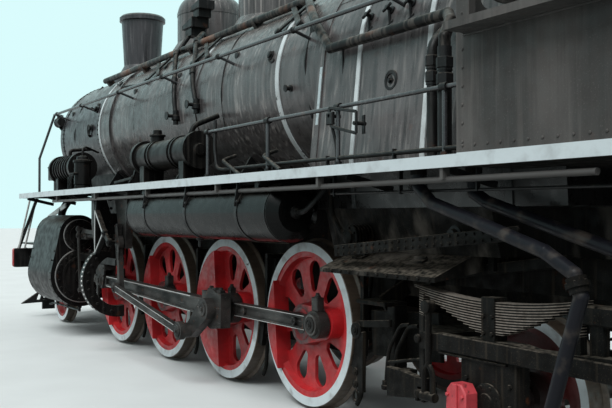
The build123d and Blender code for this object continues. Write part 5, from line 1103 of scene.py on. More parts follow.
# Domes: skirts' bolts, lids, lifting eyes and the stepped dark plates beside the sand dome
domeTrim = {"sand": (-0.94, 0.4, 0.47), "steam": (-2.54, 0.375, 0.45), "top": 4.33}
made = Shape()
eye = at(-0.94, 0.09, domeTrim["top"] + 0.02)
made.tube(
    [
        eye - forward * 0.05, eye - forward * 0.05 + upward * 0.06, eye + forward * 0.05 + upward * 0.06,
        eye + forward * 0.05,
    ],
    0.01, 0.04,
)
made.mirror()
for name in ("sand", "steam"):
    place, body, skirt = domeTrim[name]
    for angle in circle(22, 0.07):
        lengthwise, across = cos(angle) * (skirt - 0.03), sin(angle) * (skirt - 0.03)
        drop = sqrt(0.885**2 - across**2)
        made.bolts(
            [(place + lengthwise, across, boilerAxis + drop + 0.005)], Vector((0, across, drop)), 0.012,
        )
    made.lathe(
        (place, 0, domeTrim["top"] - 0.004), upward, [(0, 0.19), (0.022, 0.19), (0.03, 0.17), (0.034, 0.06)],
        40,
    )
    made.boltCircle((place, 0, domeTrim["top"] + 0.018), upward, 0.165, 10, 0.01)
    made.hoop((place, 0, 4.06), upward, body + 0.0005, 0.04, 0.005, 64)
piece("domeTrim", made, "boilerPaint")
hoods = Shape()
for x, y, z, long, wide, high, lean in (
    (-1.62, 0.42, 3.95, 0.26, 0.2, 0.05, 0.12), (-1.5, 0.45, 3.75, 0.28, 0.22, 0.05, 0.16),
):
    top = [(-long / 2, 0), (long / 2, 0), (long / 2, high), (-long / 2, high + lean * 0.4)]
    hoods.plate(top, (x, y - wide / 2, z), forward, upward, -wide, 0.006)
    hoods.plate(
        rectangle(long * 0.6, 0.1, (0, -0.04)), (x, y - wide / 2 + 0.02, z), forward, upward, -(wide - 0.04),
        0.004,
    )
    hoods.tube([(x, y - 0.05, z + 0.02), (-1.22, 0.24, z + 0.02)], 0.03)
piece("domeHoods", hoods, "blackPaint")

# Sand and steam pipes over the barrel, with their elbows and valves
pipeTrim = {"sandRadius": 0.026, "lift": 0.03}
made = Shape()
for points, laid in (
    (
        [(-1.3, 0.24, 3.8), (-1.46, 0.46, 3.74), (-1.5, 0.69, 3.44)],
        [(-1.72, 29), (-1.86, 20), (-1.95, 8), (-2.02, -6)],
    ),
    (
        [(-1.3, 0.2, 3.68), (-1.77, 0.48, 3.66), (-1.95, 0.64, 3.52)],
        [(-2.2, 33), (-2.32, 22), (-2.45, 10), (-2.57, -2)],
    ),
):
    spots = [at(*point) for point in points]
    spots += [skin(place, degrees, pipeTrim["lift"]) for place, degrees in laid]
    made.tube(spots, pipeTrim["sandRadius"], 0.1, 12)
    for spot, beside in ((spots[2], spots[3]), (spots[4], spots[5])):
        made.lathe(spot, beside - spot, [(-0.03, 0.034), (0.03, 0.034), (0.034, 0.028)], 12)
    foot = spots[-1]
    made.lathe(
        foot + upward * 0.06, -upward,
        [(0, 0.036), (0.05, 0.036), (0.055, 0.048), (0.1, 0.048), (0.11, 0.03), (0.15, 0.03)], 14,
    )
    made.lathe(foot + outward * 0.02, outward, [(0, 0.02), (0.09, 0.02)], 10)
    made.lathe(foot + outward * 0.1, outward, [(0, 0.045), (0.012, 0.045)], 14)
# crossed straps that carry the lagged pipe
for place in (-1.0, -2.38, -4.25):
    for shift in (-0.19, 0.19):
        made.bar(skin(place - shift, 48, 0.05), skin(place + shift, 30, 0.03), 0.055, 0.02, 0.003, spoke(39))
        made.lathe(skin(place + shift, 30), spoke(30), [(-0.004, 0.03), (0.045, 0.03), (0.05, 0.02)], 10)
# thin oil and air lines
for route, radius in (
    ([(0.64, 44), (0.2, 36), (-0.2, 33), (-0.6, 30)], 0.009),
    ([(-3.0, 62), (-3.05, 40), (-3.1, 20), (-3.12, 2), (-3.1, -20)], 0.01),
    ([(-4.62, 60), (-4.66, 30), (-4.7, 6), (-4.7, -24)], 0.012),
    ([(1.86, 60), (1.84, 30), (1.86, 0), (1.9, -34)], 0.012),
):
    made.tube([skin(place, degrees, 0.012) for place, degrees in route], radius, 0.08, 8)
both("sandPipes", made, "blackPaint")

# Handrails: ball sockets, feet on the cladding, lower posts and the stirrup round the reach rod
railTrim = {
    "posts": (2.18, 1.0, -0.5, -1.9, -3.3, -4.7, -6.0), "y": 1.02, "z": 3.1,
    "lowerPosts": (-3.45, -4.6, -5.64, -6.8), "lowerY": 1.2,
}
made = Shape()
for place in railTrim["posts"]:
    knob = at(place, railTrim["y"], railTrim["z"])
    ball(made, knob, 0.03, forward)
    made.lathe(knob, forward, [(-0.042, 0.021), (0.042, 0.021)], 14)
    foot = skin(place, 24)
    way = (foot - knob).normalized()
    made.lathe(foot - way * 0.016, way, [(0, 0.03), (0.012, 0.042), (0.05, 0.042)], 16)
lowerY = railTrim["lowerY"]
for place in railTrim["lowerPosts"]:
    made.lathe((place - 0.03, lowerY, 2.36), forward, [(0, 0.028), (0.06, 0.028), (0.064, 0.022)], 14)
    made.lathe((place, lowerY, boardTop), upward, [(0, 0.05), (0.014, 0.05), (0.02, 0.03), (0.05, 0.026)], 16)
    made.bolts([(place + shift, lowerY, 1.932) for shift in (-0.036, 0.036)], upward, 0.009)
# stirrup around the reach rod, with its latch
stirrup = [(-5.575, 2.36), (-5.915, 2.3), (-5.915, 2.15), (-5.6, 2.225)]
for first, second in zip(stirrup, stirrup[1:] + stirrup[:1]):
    made.bar((first[0], 1.235, first[1]), (second[0], 1.235, second[1]), 0.022, 0.014, 0.003)
for x, z in ((-5.59, 2.3), (-5.905, 2.22)):
    made.lathe((x, 1.15, z), outward, [(0, 0.014), (0.1, 0.014)], 10)
    made.bar((x, 1.165, z + 0.06), (x, 1.165, z - 0.07), 0.03, 0.014, 0.003)
made.block((-5.59, 1.235, 2.28), (0.08, 0.03, 0.09), 0.006)
made.tube([(-5.59, 1.22, 2.23), (-5.62, lowerY, 2.08), (-5.62, lowerY, 1.93)], 0.012, 0.05)
made.tube([skin(-5.3, 8, 0.012), skin(-5.31, -6, 0.012), skin(-5.33, -22, 0.012)], 0.008, sides=8)
both("railSockets", made, "blackPaint")

# Lamps: a marker lamp beside the smokebox and a box lamp on the deck, their glasses blank
lampTrim = {"marker": (2.6, 0.86, 3.02), "box": (2.3, 0.98, 2.12)}
made, glass = Shape(), Shape()
x, y, z = lampTrim["marker"]
base = at(x, y, z)
made.lathe(
    base - forward * 0.09, forward, [
        (0, 0.062), (0.12, 0.07), (0.13, 0.078), (0.15, 0.078), (0.15, 0.06),
    ], 24,
)
made.lathe(
    base + upward * 0.062, upward, [(0, 0.045), (0.03, 0.045), (0.036, 0.056), (0.045, 0.056), (0.06, 0.02)],
    18,
)
made.bar(base - upward * 0.06, base - upward * 0.16 - outward * 0.08, 0.05, 0.012, 0.002, forward)
made.bolts([base - upward * 0.14 - outward * 0.06], forward, 0.01)
glass.lathe(base + forward * 0.05, forward, [(0, 0.058), (0.008, 0.05), (0.014, 0.03), (0.017, 0.01)], 24)
x, y, z = lampTrim["box"]
made.plate(rectangle(0.22, 0.22, (0, 0.11)), (x, y - 0.11, z), forward, upward, -0.22, 0.012)
made.lathe((x, y, z + 0.22), upward, [(0, 0.06), (0.03, 0.06), (0.034, 0.08), (0.05, 0.07), (0.06, 0.03)], 20)
made.lathe((x + 0.11, y, z + 0.11), forward, [(0, 0.085), (0.03, 0.09), (0.03, 0.075)], 28)
made.bar((x, y, z), (x, y, boardTop), 0.09, 0.09, 0.01, forward)
made.bolts([(x + shift, y + 0.115, z + 0.19) for shift in (-0.08, 0.08)], outward, 0.01)
glass.lathe((x + 0.125, y, z + 0.11), forward, [(0, 0.074), (0.01, 0.06), (0.018, 0.035), (0.02, 0.01)], 28)
both("markerLamps", made, "blackPaint")
both("lampGlasses", glass, "lampGlass")

# Turbo generator's valves and the upright oil pump beside it
turboTrim = {
    "rings": (0.45, 0.56, 0.67, 0.78, 0.89, 1.0, 1.11), "drumY": 1.2, "drumZ": 2.22, "x": 0.52, "y": 1.27,
}
drumY, drumZ = turboTrim["drumY"], turboTrim["drumZ"]
made = Shape()
for place in turboTrim["rings"]:
    made.hoop((place, drumY, drumZ), forward, 0.166, 0.018, 0.014, 48)
made.boltCircle((0.37, drumY, drumZ), -forward, 0.13, 10, 0.012)
made.lathe((0.372, drumY, drumZ), -forward, [(0, 0.08), (0.03, 0.078), (0.04, 0.05)], 28)
made.tube([(0.9, drumY, 2.38), (0.9, drumY, 2.47), (0.9, 0.92, 2.5)], 0.024, 0.06)
# an oil pump with its lines on each side
for side in (1, -1):
    oil = at(turboTrim["x"] - 0.4 * (side == 1), side * turboTrim["y"], boardTop)
    made.lathe(
        oil, upward,
        [
            (0, 0.12), (0.02, 0.12), (0.024, 0.1), (0.06, 0.095), (0.07, 0.105), (0.34, 0.105), (0.345, 0.12),
            (0.37, 0.12), (0.38, 0.08), (0.42, 0.07), (0.43, 0.03),
        ],
        28,
    )
    made.boltCircle(oil + upward * 0.368, upward, 0.104, 8, 0.01)
    for step in range(5):
        spot = oil + Vector((-0.07 + 0.035 * step, side * 0.09, 0.2))
        made.lathe(spot, outward * side, [(0, 0.014), (0.05, 0.014), (0.054, 0.009)], 10)
        made.tube(
            [
                spot + outward * side * 0.04, spot + Vector((0, side * 0.07, -0.05)),
                spot + Vector((0.1, side * 0.05, -0.22)),
            ],
            0.006, 0.03, 6,
        )
    made.tube(
        [
            oil + upward * 0.42, oil + upward * 0.52, oil + Vector((0.2, -side * 0.1, 0.56)),
            oil + Vector((0.3, -side * 0.3, 0.5)),
        ],
        0.014, 0.06,
    )
piece("turboFittings", made, "casting")

# Feed pump and air pump: flanges, studs, rods between the cylinders and valve chests
pumpTrim = {"y": 1.2, "feed": (1, -1.9, -3.25, 0.15, 2.21), "air": (-1, -2.00, -3.1, 0.19, 2.25)}
made = Shape()
for name in ("feed", "air"):
    side, front, rear, radius, level = pumpTrim[name]
    y = side * pumpTrim["y"]
    for place in (front, front - 0.34, front - 0.42, rear + 0.42, rear + 0.34, rear):
        made.hoop((place, y, level), forward, radius + 0.0005, 0.026, 0.012, 48)
        made.boltCircle((place - 0.013, y, level), -forward, radius + 0.004, 12, 0.007)
    made.lathe(
        (rear, y, level), -forward,
        [
            (0, radius * 0.72), (0.02, radius * 0.7), (0.034, radius * 0.4), (0.05, radius * 0.36),
            (0.054, radius * 0.2),
        ],
        32,
    )
    made.boltCircle((rear, y, level), -forward, radius * 0.85, 10, 0.011)
    made.lathe(
        (front, y, level), forward,
        [(0, radius * 0.72), (0.02, radius * 0.7), (0.06, radius * 0.3), (0.09, radius * 0.28)], 32,
    )
    chest = at((front + rear) / 2 + 0.36, y, level + radius)
    made.lathe(
        chest, upward,
        [
            (-0.02, 0.07), (0.05, 0.07), (0.054, 0.085), (0.07, 0.085), (0.078, 0.05), (0.12, 0.045),
            (0.13, 0.02),
        ],
        24,
    )
    made.boltCircle(chest + upward * 0.068, upward, 0.07, 6, 0.009)
    # rocking lever and its links ahead of the pump
    made.bar((front + 0.1, y, level + 0.11), (front + 0.02, y, level - 0.16), 0.04, 0.03, 0.004)
    made.bar(
        (
            front + 0.09, side * 1.22, level + 0.1,
        ), (front + 0.34, side * 1.22, level - 0.2), 0.035, 0.02, 0.004,
    )
    made.bar(
        (front + 0.34, side * 1.22, level - 0.2), (front + 0.95, side * 1.22, level - 0.235), 0.03, 0.02,
        0.004,
    )
    for x, z in ((0.09, 0.1), (0.34, -0.2), (0.03, -0.14)):
        made.nut((front + x, side * 1.232, level + z), outward * side, 0.026, 0.016)
    made.tube(
        [
            (rear + 0.2, y, level + radius), (rear + 0.2, side * 1.16, level + radius + 0.1),
            (rear + 0.2, side * 0.9, level + 0.36),
        ],
        0.026, 0.08, 12,
    )
piece("pumpFittings", made, "casting")

# Running board: the pipe above it, drop pipe, braces, clamp bolts and a thin conduit under the edge
boardTrim = {
    "pipeY": 1.2, "pipePosts": (
        -3.95, -4.7, -5.5, -6.3, -7.0,
    ), "edgeY": 1.3, "conduitPosts": (-5.75, -6.5, -7.2),
    "feet": (2.2, 1.1, -0.1, -1.3, -2.5, -3.7, -4.9, -6.1, -7.1),
}
pipeY, edgeY = boardTrim["pipeY"], boardTrim["edgeY"]
made, pale = Shape(), Shape()
made.tube(
    [
        (-3.57, 1.18, 2.46), (-3.6, pipeY, 2.2), (-3.65, pipeY, 2.02), (-3.75, pipeY, 2.0),
        (-5.11, pipeY, 2.0), (-7.23, pipeY, 1.985),
    ],
    0.016, 0.05, 10,
)
for place in boardTrim["pipePosts"]:
    made.bar((place, pipeY, boardTop), (place, pipeY, 2.02), 0.03, 0.014, 0.002, forward)
for low, high in (((-4.302, 1.927), (-3.715, 2.085)), ((-4.977, 1.939), (-4.481, 2.084))):
    made.tube(
        [(low[0], edgeY, low[1]), (high[0], 1.18, high[1]), (high[0] + 0.05, 1.02, high[1] + 0.05)], 0.017,
        0.06, 10,
    )
    made.lathe((low[0], edgeY, boardTop), upward, [(0, 0.04), (0.012, 0.04), (0.016, 0.024)], 14)
made.tube([(-5.7, edgeY, 1.74), (-8.6, edgeY, 1.72)], 0.009, sides=8)
for place in boardTrim["conduitPosts"]:
    made.bar((place, edgeY, 1.9), (place, edgeY, 1.72), 0.03, 0.01, 0.002, forward)
# angle-iron feet and bolts that hold the board
for place in boardTrim["feet"]:
    made.block((place, 1.4, 1.87), (0.07, 0.12, 0.03), 0.004)
    made.bolts([(place + shift, 1.42, 1.921) for shift in (-0.02, 0.02)], upward, 0.009)
    made.bar((place, 1.44, 1.845), (place, 1.06, 1.76), 0.045, 0.012, 0.002, forward)
# sloping rods from the board's front end down to the beam, and one more bar, all painted bright as highlights
for x, y in ((0, 1.27), (-0.05, 1.19)):
    pale.tube([(2.736 + x, y, 1.85), (3.423 + x, y, 1.09)], 0.015)
pale.bar((2.73, 1.0, 1.56), (1.78, 1.0, 1.75), 0.07, 0.02, 0.003)
both("boardFittings", made, "blackPaint")
both("slopingRods", pale, "paintedHighlight")

# Tanks: end rings, straps with turnbuckles and drain cocks
tankTrim = {
    "front": -1.98, "rear": -5.13, "y": 1.25, "z": 1.612, "radius": 0.23, "straps": (-2.55, -3.55, -4.57),
}
made = Shape()
for place in tankTrim["straps"]:
    made.hoop((place, tankTrim["y"], tankTrim["z"]), forward, tankTrim["radius"] + 0.0005, 0.05, 0.005, 64)
    made.bar((place, 1.47, 1.66), (place, 1.44, 1.85), 0.05, 0.01, 0.002, forward)
    made.nut((place - 0.028, 1.475, 1.7), -forward, 0.014, 0.02)
for place in (-2.06, -5.05):
    made.hoop((place, tankTrim["y"], tankTrim["z"]), forward, tankTrim["radius"] + 0.0003, 0.012, 0.004, 64)
for place, axis in ((tankTrim["front"], forward), (tankTrim["rear"], -forward)):
    middle = at(place, tankTrim["y"], tankTrim["z"]) - axis * 0.006
    made.lathe(middle, axis, [(0, 0.05), (0.02, 0.05), (0.026, 0.03), (0.05, 0.026)], 20)
made.lathe(
    (-3.4, 1.25, 1.385), -upward, [(0, 0.035), (0.02, 0.035), (0.026, 0.018), (0.08, 0.018), (0.085, 0.01)],
    14,
)
made.tube([(-5.16, 1.25, 1.612), (-5.24, 1.25, 1.612), (-5.3, 1.2, 1.68), (-5.36, 1.1, 1.82)], 0.02, 0.05)
both("tankStraps", made, "blackPaint")
print("boiler and running board dressed")

# Firebox side: upright pipes with couplings, washout plug, T-plugs, small plugs and a short pale strip
fireboxTrim = {
    "wall": 0.958, "pipes": ((-6.56, 1.1, 2.66, 0.034), (-6.73, 1.14, 2.62, 0.044)), "plugs": (-5.94, 2.53),
}
made, pale = Shape(), Shape()
for x, y, top, radius in fireboxTrim["pipes"]:
    spots = [at(x, y, top), at(x, y, 1.9)]
    if radius < 0.04:
        spots = [at(x, 1.0, top + 0.1)] + spots
    made.tube(spots, radius, 0.06, 18)
    for height in (top - 0.1, top - 0.2):
        coupling = at(x, y, height)
        made.lathe(
            coupling, upward,
            [
                (-0.035, radius + 0.006), (-0.03, radius + 0.012), (0.03, radius + 0.012),
                (0.035, radius + 0.006),
            ],
            6,
        )
        made.lathe(coupling - upward * 0.05, upward, [(0, radius + 0.005), (0.014, radius + 0.005)], 18)
    made.lathe(
        (x, y, boardTop), upward, [(0, radius + 0.03), (0.014, radius + 0.03), (0.018, radius + 0.006)], 18,
    )
x, z = fireboxTrim["plugs"]
wall = fireboxTrim["wall"]
made.lathe(
    (x, wall - 0.012, z), outward,
    [(0, 0.075), (0.014, 0.075), (0.02, 0.066), (0.016, 0.048), (-0.004, 0.046)], 32,
)
made.lathe((x, wall - 0.01, z), outward, [(0, 0.038), (0.012, 0.036), (0.012, 0.018), (0.034, 0.018)], 4)
for x in (-5.61, -5.86, -6.1):
    spot, way = skin(x, 18), spoke(18)
    made.lathe(spot, way, [(-0.004, 0.03), (0.012, 0.03), (0.016, 0.016), (0.06, 0.016)], 14)
    made.tube(
        [
            spot + way * 0.05 - forward * 0.045 + upward * 0.02,
            spot + way * 0.05 + forward * 0.045 - upward * 0.02,
        ],
        0.011, sides=8,
    )
    made.tube([spot + way * 0.03, spot + way * 0.02 - upward * 0.12], 0.011, sides=8)
    made.tube(
        [
            spot + way * 0.02 - upward * 0.09 - forward * 0.04,
            spot + way * 0.02 - upward * 0.12 + forward * 0.03,
        ],
        0.011, sides=8,
    )
for x, degrees in ((-4.06, 16), (-1.2, 40), (0.35, 40)):
    spot, way = skin(x, degrees), spoke(degrees)
    made.lathe(spot, way, [(-0.004, 0.045), (0.01, 0.045), (0.014, 0.034), (0.03, 0.034), (0.034, 0.026)], 6)
    rim = [
        spot + way * 0.015 + (forward * cos(angle) + upward * sin(angle)) * 0.07
        for angle in (-2.2, -1.8, -1.4, -1.0, -0.6)
    ]
    made.tube([point - forward * 0.04 for point in rim], 0.014, sides=8)
spot, way = skin(-4.46, -6), spoke(-6)
made.lathe(
    spot, way, [(0, 0.03), (0.014, 0.03), (0.018, 0.02), (0.05, 0.02), (0.054, 0.03), (0.062, 0.03)], 12,
)
for x, degrees in ((1.05, 3), (0.96, 20)):
    spot, way = skin(x, degrees), spoke(degrees)
    made.lathe(spot, way, [(0, 0.05), (0.016, 0.05), (0.02, 0.034), (0.05, 0.034), (0.054, 0.02)], 20)
made.lathe((-6.66, 0.99, 1.465), outward, [(0, 0.06), (0.016, 0.06), (0.02, 0.04), (0.05, 0.036)], 24)
# pale strip that ends below the handrail
strip = [at(-5.01, (0.942 + 0.075 * max(0, (2.76 - z)) / 0.76), z) for z in (2.76, 2.66, 2.54, 2.42, 2.3)]
for first, second in zip(strip, strip[1:]):
    pale.bar(first, second, 0.035, 0.006, 0.001, outward)
both("fireboxPlugs", made, "blackPaint")
both("fireboxStrip", pale, "paleStrip")

# Below the firebox: finned cooler, front pipe, ash shelf, bolted beam, frame bar and stays
ashTrim = {"shelf": (-5.38, -6.69), "cooler": (-5.63, 1.43)}
made, stained = Shape(), Shape()
x, z = ashTrim["cooler"]
for step in range(7):
    made.lathe((x, 0.92 + 0.028 * step, z), outward, [(0, 0.092), (0.009, 0.092)], 28)
made.lathe((x, 0.9, z), outward, [(0, 0.05), (0.22, 0.05), (0.23, 0.03)], 20)
made.boltCircle((x, 1.102, z), outward, 0.07, 6, 0.01)
made.bar((x, 0.95, z - 0.08), (x, 0.95, 1.2), 0.09, 0.02, 0.004, forward)
made.tube([(-5.38, 1.1, 1.86), (-5.4, 1.1, 1.6), (-5.52, 1.08, 1.45), (-5.6, 1.05, 1.42)], 0.018, 0.06)
made.tube([(-4.96, 1.2, 1.72), (-5.0, 1.16, 1.6), (-5.1, 1.08, 1.5)], 0.03, 0.06)
front, rear = ashTrim["shelf"]
stained.bolts(along((front - 0.05, 1.191, 1.19), (rear + 0.05, 1.191, 1.19), 12), outward, 0.012)
for place in (-5.62, -6.3):
    stained.plate(rectangle(0.13, 0.05), (place, 1.0, 1.285), forward, outward + upward * -0.4, 0.012, 0.003)
    stained.lathe((place + 0.06, 0.985, 1.305), -forward, [(0, 0.014), (0.12, 0.014)], 12)
# beam with bolts that carries the firebox's foot, and the rising frame bar
first, last = at(-5.6, 1.2, 1.335), at(-7.42, 1.2, 1.49)
made.bar(first, last, 0.08, 0.02, 0.004)
for lift in (-0.022, 0.022):
    made.bolts(
        [spot + outward * 0.011 + upward * lift for spot in along(first - forward * 0.05, last, 26)], outward,
        0.009,
    )
made.bar((-6.163, 0.75, 1.178), (-7.36, 0.75, 1.325), 0.07, 0.05, 0.006)
made.block((-6.77, 0.77, 1.3), (0.05, 0.08, 0.12), 0.006)
made.bar((-6.12, 0.64, 1.15), (-6.12, 0.78, 1.15), 0.1, 0.06, 0.006, forward)
both("fireboxFoot", made, "grime", slotName="black_paint")
both("ashShelves", stained, "ashpanPaint")

# Waist sheets: bolted cross plates between the frame and the barrel
waistTrim = {"places": (-3.9, -2.3, -0.62), "half": 0.58, "low": 1.22, "barrel": 0.905}
made = Shape()
for place in waistTrim["places"]:
    half = waistTrim["half"]
    crown = [
        (half * (1 - step / 8), 2.75 - sqrt(waistTrim["barrel"] ** 2 - (half * (1 - step / 8)) ** 2))
        for step in range(17)
    ]
    sheet = [(-half, waistTrim["low"]), (half, waistTrim["low"])] + crown
    made.plate(sheet, (place, 0, 0), outward, upward, 0.022, 0.003)
    for height in (waistTrim["low"] + 0.02, 1.72):
        made.bar((place - 0.03, -half, height), (place - 0.03, half, height), 0.05, 0.03, 0.004, forward)
        made.bolts(
            along((place - 0.045, -half + 0.05, height), (place - 0.045, half - 0.05, height), 9), -forward,
            0.014,
        )
piece("waistSheets", made, "grime")

# Sand nozzles ahead of the coupled wheels, and the levers, pipes and beams behind the last one
brakeTrim = {"nozzle": -0.8, "leverX": -5.524, "leverZ": 0.744}
made = Shape()
for number in range(4):
    nozzle = brakeTrim["nozzle"] - pitch * number
    made.tube(
        [
            (nozzle + 0.12, 0.62, 1.2), (nozzle + 0.06, 0.74, 0.7), (nozzle + 0.1, 0.745, 0.2),
            (nozzle + 0.16, 0.745, 0.12),
        ],
        0.018, 0.08, 10,
    )
    made.bar((nozzle + 0.06, 0.58, 0.74), (nozzle + 0.06, 0.76, 0.74), 0.04, 0.012, 0.002, forward)
# lever with a round head, its plate and the chain's ring
made.lathe(
    (
        brakeTrim["leverX"], 0.92, brakeTrim["leverZ"],
    ), outward, [(0, 0.064), (0.05, 0.064), (0.056, 0.056)], 24,
)
made.nut((brakeTrim["leverX"], 0.976, brakeTrim["leverZ"]), outward, 0.034, 0.016)
made.bar((-5.52, 0.95, 0.79), (-5.9, 0.93, 0.83), 0.05, 0.03, 0.004)
made.bar((-5.575, 0.95, 0.74), (-5.565, 0.95, 0.3), 0.07, 0.035, 0.004)
for height in (0.35, 0.44):
    made.nut((-5.515, 0.968, height), outward, 0.03, 0.016)
made.ring((-5.51, 0.96, 0.26), forward * 0.03, upward * 0.04, 0.009, 16)
made.block((-5.62, 0.81, 0.95), (0.36, 0.2, 0.03), 0.004)
made.block((-5.8, 0.8, 0.63), (0.09, 0.12, 0.62), 0.008)
made.bar((-5.62, 0.8, 0.94), (-5.62, 0.57, 1.06), 0.12, 0.03, 0.004, forward)
made.bar((-6.2, 0.72, 0.75), (-5.4, 0.72, 0.7), 0.34, 0.04, 0.006)
# twin bent pipes
for shift in (0, -0.09):
    route = [(-6.1, 0.84), (-6.0, 0.83), (-5.86, 0.64), (-5.84, 0.5), (-5.826, 0.38)]
    made.tube([(x + shift, 0.92, z) for x, z in route], 0.014, 0.06, 10)
    made.lathe(
        (-5.826 + shift, 0.92, 0.42), -upward,
        [(0, 0.026), (0.03, 0.026), (0.034, 0.034), (0.06, 0.034), (0.064, 0.02)], 12,
    )
# tapered beam and the rod above it
taper = [(-6.44, 0.4), (-5.95, 0.34), (-5.95, 0.545), (-6.1, 0.545), (-6.44, 0.51)]
made.plate(taper, (0, 0.96, 0), forward, upward, -0.05, 0.006)
made.tube([(-5.9, 0.95, 0.56), (-6.05, 0.95, 0.59), (-6.3, 0.95, 0.637)], 0.013, 0.04)
made.block((-5.95, 0.86, 0.44), (0.1, 0.18, 0.14), 0.006)
both("brakeLevers", made, "grime")

# Cab: window frames, sliding rail, beading, rivets, grab rails and steps' treads
cabTrim = {
    "front": -7.24, "rear": -9.35, "face": 1.49, "windowFront": -7.35, "windowRear": -8.79, "sill": 2.6,
    "windowTop": 3.33, "eaves": 3.52, "rivetPitch": 0.09,
}
made = Shape()
face, sill, top = cabTrim["face"], cabTrim["sill"], cabTrim["windowTop"]
front, rear = cabTrim["windowFront"], cabTrim["windowRear"]
for z in (sill - 0.03, top + 0.025):
    made.bar((front + 0.05, face, z), (rear - 0.05, face, z), 0.05, 0.02, 0.004)
for x in (front + 0.025, rear - 0.025):
    made.bar((x, face, sill - 0.05), (x, face, top + 0.045), 0.05, 0.02, 0.004)
made.bar(((front + rear) / 2, face - 0.02, sill), ((front + rear) / 2, face - 0.02, top), 0.045, 0.03, 0.004)
# armrest along the sill and a drip strip under the eaves
made.lathe(
    (front, 1.52, sill + 0.012), -forward, [(0, 0.02), (0.004, 0.028), (1.436, 0.028), (1.44, 0.02)], 16,
)
made.bar(
    (cabTrim["front"], 1.53, cabTrim["eaves"] - 0.03), (cabTrim["rear"], 1.53, cabTrim["eaves"] - 0.03),
    0.024, 0.06, 0.004,
)
frontRow, rearRow = cabTrim["front"] - 0.05, cabTrim["rear"] + 0.05
rows = [((frontRow, 1.98), (frontRow, 3.47)), ((rearRow, 1.0), (rearRow, 3.47))]
rows += [((frontRow, level), (rearRow, level)) for level in (1.96, 3.45)]
for start, end in rows:
    length = abs(start[0] - end[0]) + abs(start[1] - end[1])
    for spot in along(
        (start[0], face, start[1]), (end[0], face, end[1]), int(length / cabTrim["rivetPitch"]),
    ):
        made.lathe(spot, outward, [(-0.002, 0.0085), (0.0035, 0.0085), (0.006, 0.005)], 8)
pair("cabBeading", made, "cabPaint")
rails = Shape()
for x, low, high in ((-9.24, 1.55, 3.1), (-8.62, 1.2, 1.84)):
    rails.tube([(x, face, low), (x, 1.56, low), (x, 1.56, high), (x, face, high)], 0.016, 0.04)
    for z in (low, high):
        rails.lathe((x, face, z), outward, [(0, 0.034), (0.01, 0.034), (0.014, 0.02)], 14)
for z in (0.6, 0.95, 1.3):
    rails.bar((-8.76, 1.56, z), (-9.1, 1.56, z), 0.012, 0.14, 0.003)
    rails.bolts([(-8.8 - 0.06 * step, 1.56, z + 0.006) for step in range(5)], upward, 0.006)
pair("cabRails", rails, "blackPaint")

# Cab roof: ventilator hatch, ribs, rain strips, and the rear door's rails
roofTrim = {"ribs": (-7.3, -8.42, -9.55), "hatch": (0.9, 0.66), "hatchX": -8.45}
made = Shape()
made.bar((-7.95, 0.3, 4.07), (-8.95, 0.3, 4.07), 0.06, 0.04, 0.006)
made.bolts([(-8.05 - 0.2 * step, 0.26, 4.112) for step in range(5)], upward, 0.011)
made.bar((-7.22, 1.3, 3.71), (-9.64, 1.3, 3.71), 0.03, 0.012, 0.002)
made.mirror()
for place in roofTrim["ribs"]:
    arc = [at(place, 1.5 * step / 8, 4.075 - 0.5 * (step / 8) ** 2 * 1.05) for step in range(-8, 9)]
    for first, second in zip(arc, arc[1:]):
        made.bar(first, second, 0.05, 0.012, 0.002, (second - first).cross(forward))
made.plate(rectangle(*roofTrim["hatch"]), (roofTrim["hatchX"], 0, 4.082), forward, outward, 0.03, 0.008)
made.lathe(
    (-7.5, 0.35, 3.98), upward, [(0, 0.05), (0.07, 0.05), (0.075, 0.075), (0.1, 0.075), (0.12, 0.04)], 24,
)
piece("roofHatch", made, "cabPaint")
made = Shape()
made.tube([(-9.36, 0.62, 2.1), (-9.42, 0.62, 2.1), (-9.42, 0.62, 3.2), (-9.36, 0.62, 3.2)], 0.016, 0.04)
made.bolts(
    [(-9.352, (0.75 + 0.09 * step), level) for step in range(8) for level in (1.97, 3.46)], -forward, 0.009,
)
made.bolts([(-9.352, 0.57, 2.0 + 0.1 * step) for step in range(15)], -forward, 0.008)
made.mirror()
# round windows' rims, in the rear wall and in the front one
for x, facing in ((-9.352, 1), (-7.238, -1)):
    for side in (1, -1):
        rim = arcBand(0.19, 0.22, 0, 360, 36)
        made.plate(rim, (x, side * 1.14, 3.0), outward * facing, upward, -0.012, 0.003)
piece("cabEnds", made, "cabPaint")

# Backhead inside the cab: fire door, regulator, valves, water gauges and blank dials
backTrim = {"x": -7.56, "door": 2.25, "dials": ((-0.45, 3.42), (0, 3.5), (0.45, 3.42), (0.25, 3.2))}
made, dials, brass = Shape(), Shape(), Shape()
back, door = backTrim["x"], backTrim["door"]
made.plate(rectangle(0.26, 0.34), (back - 0.032, 0.135, door), -outward, upward, -0.022, 0.008)
made.tube(
    [
        (back - 0.05, 0.05, door + 0.08), (back - 0.1, 0.05, door), (back - 0.05, 0.05, door - 0.08),
    ], 0.01, 0.04,
)
made.boltCircle((back - 0.004, 0, 2.62), -forward, 0.66, 34, 0.013)
made.bar((back - 0.08, 0.3, 1.94), (back - 0.08, 0.3, 2.02), 0.2, 0.16, 0.01, forward)
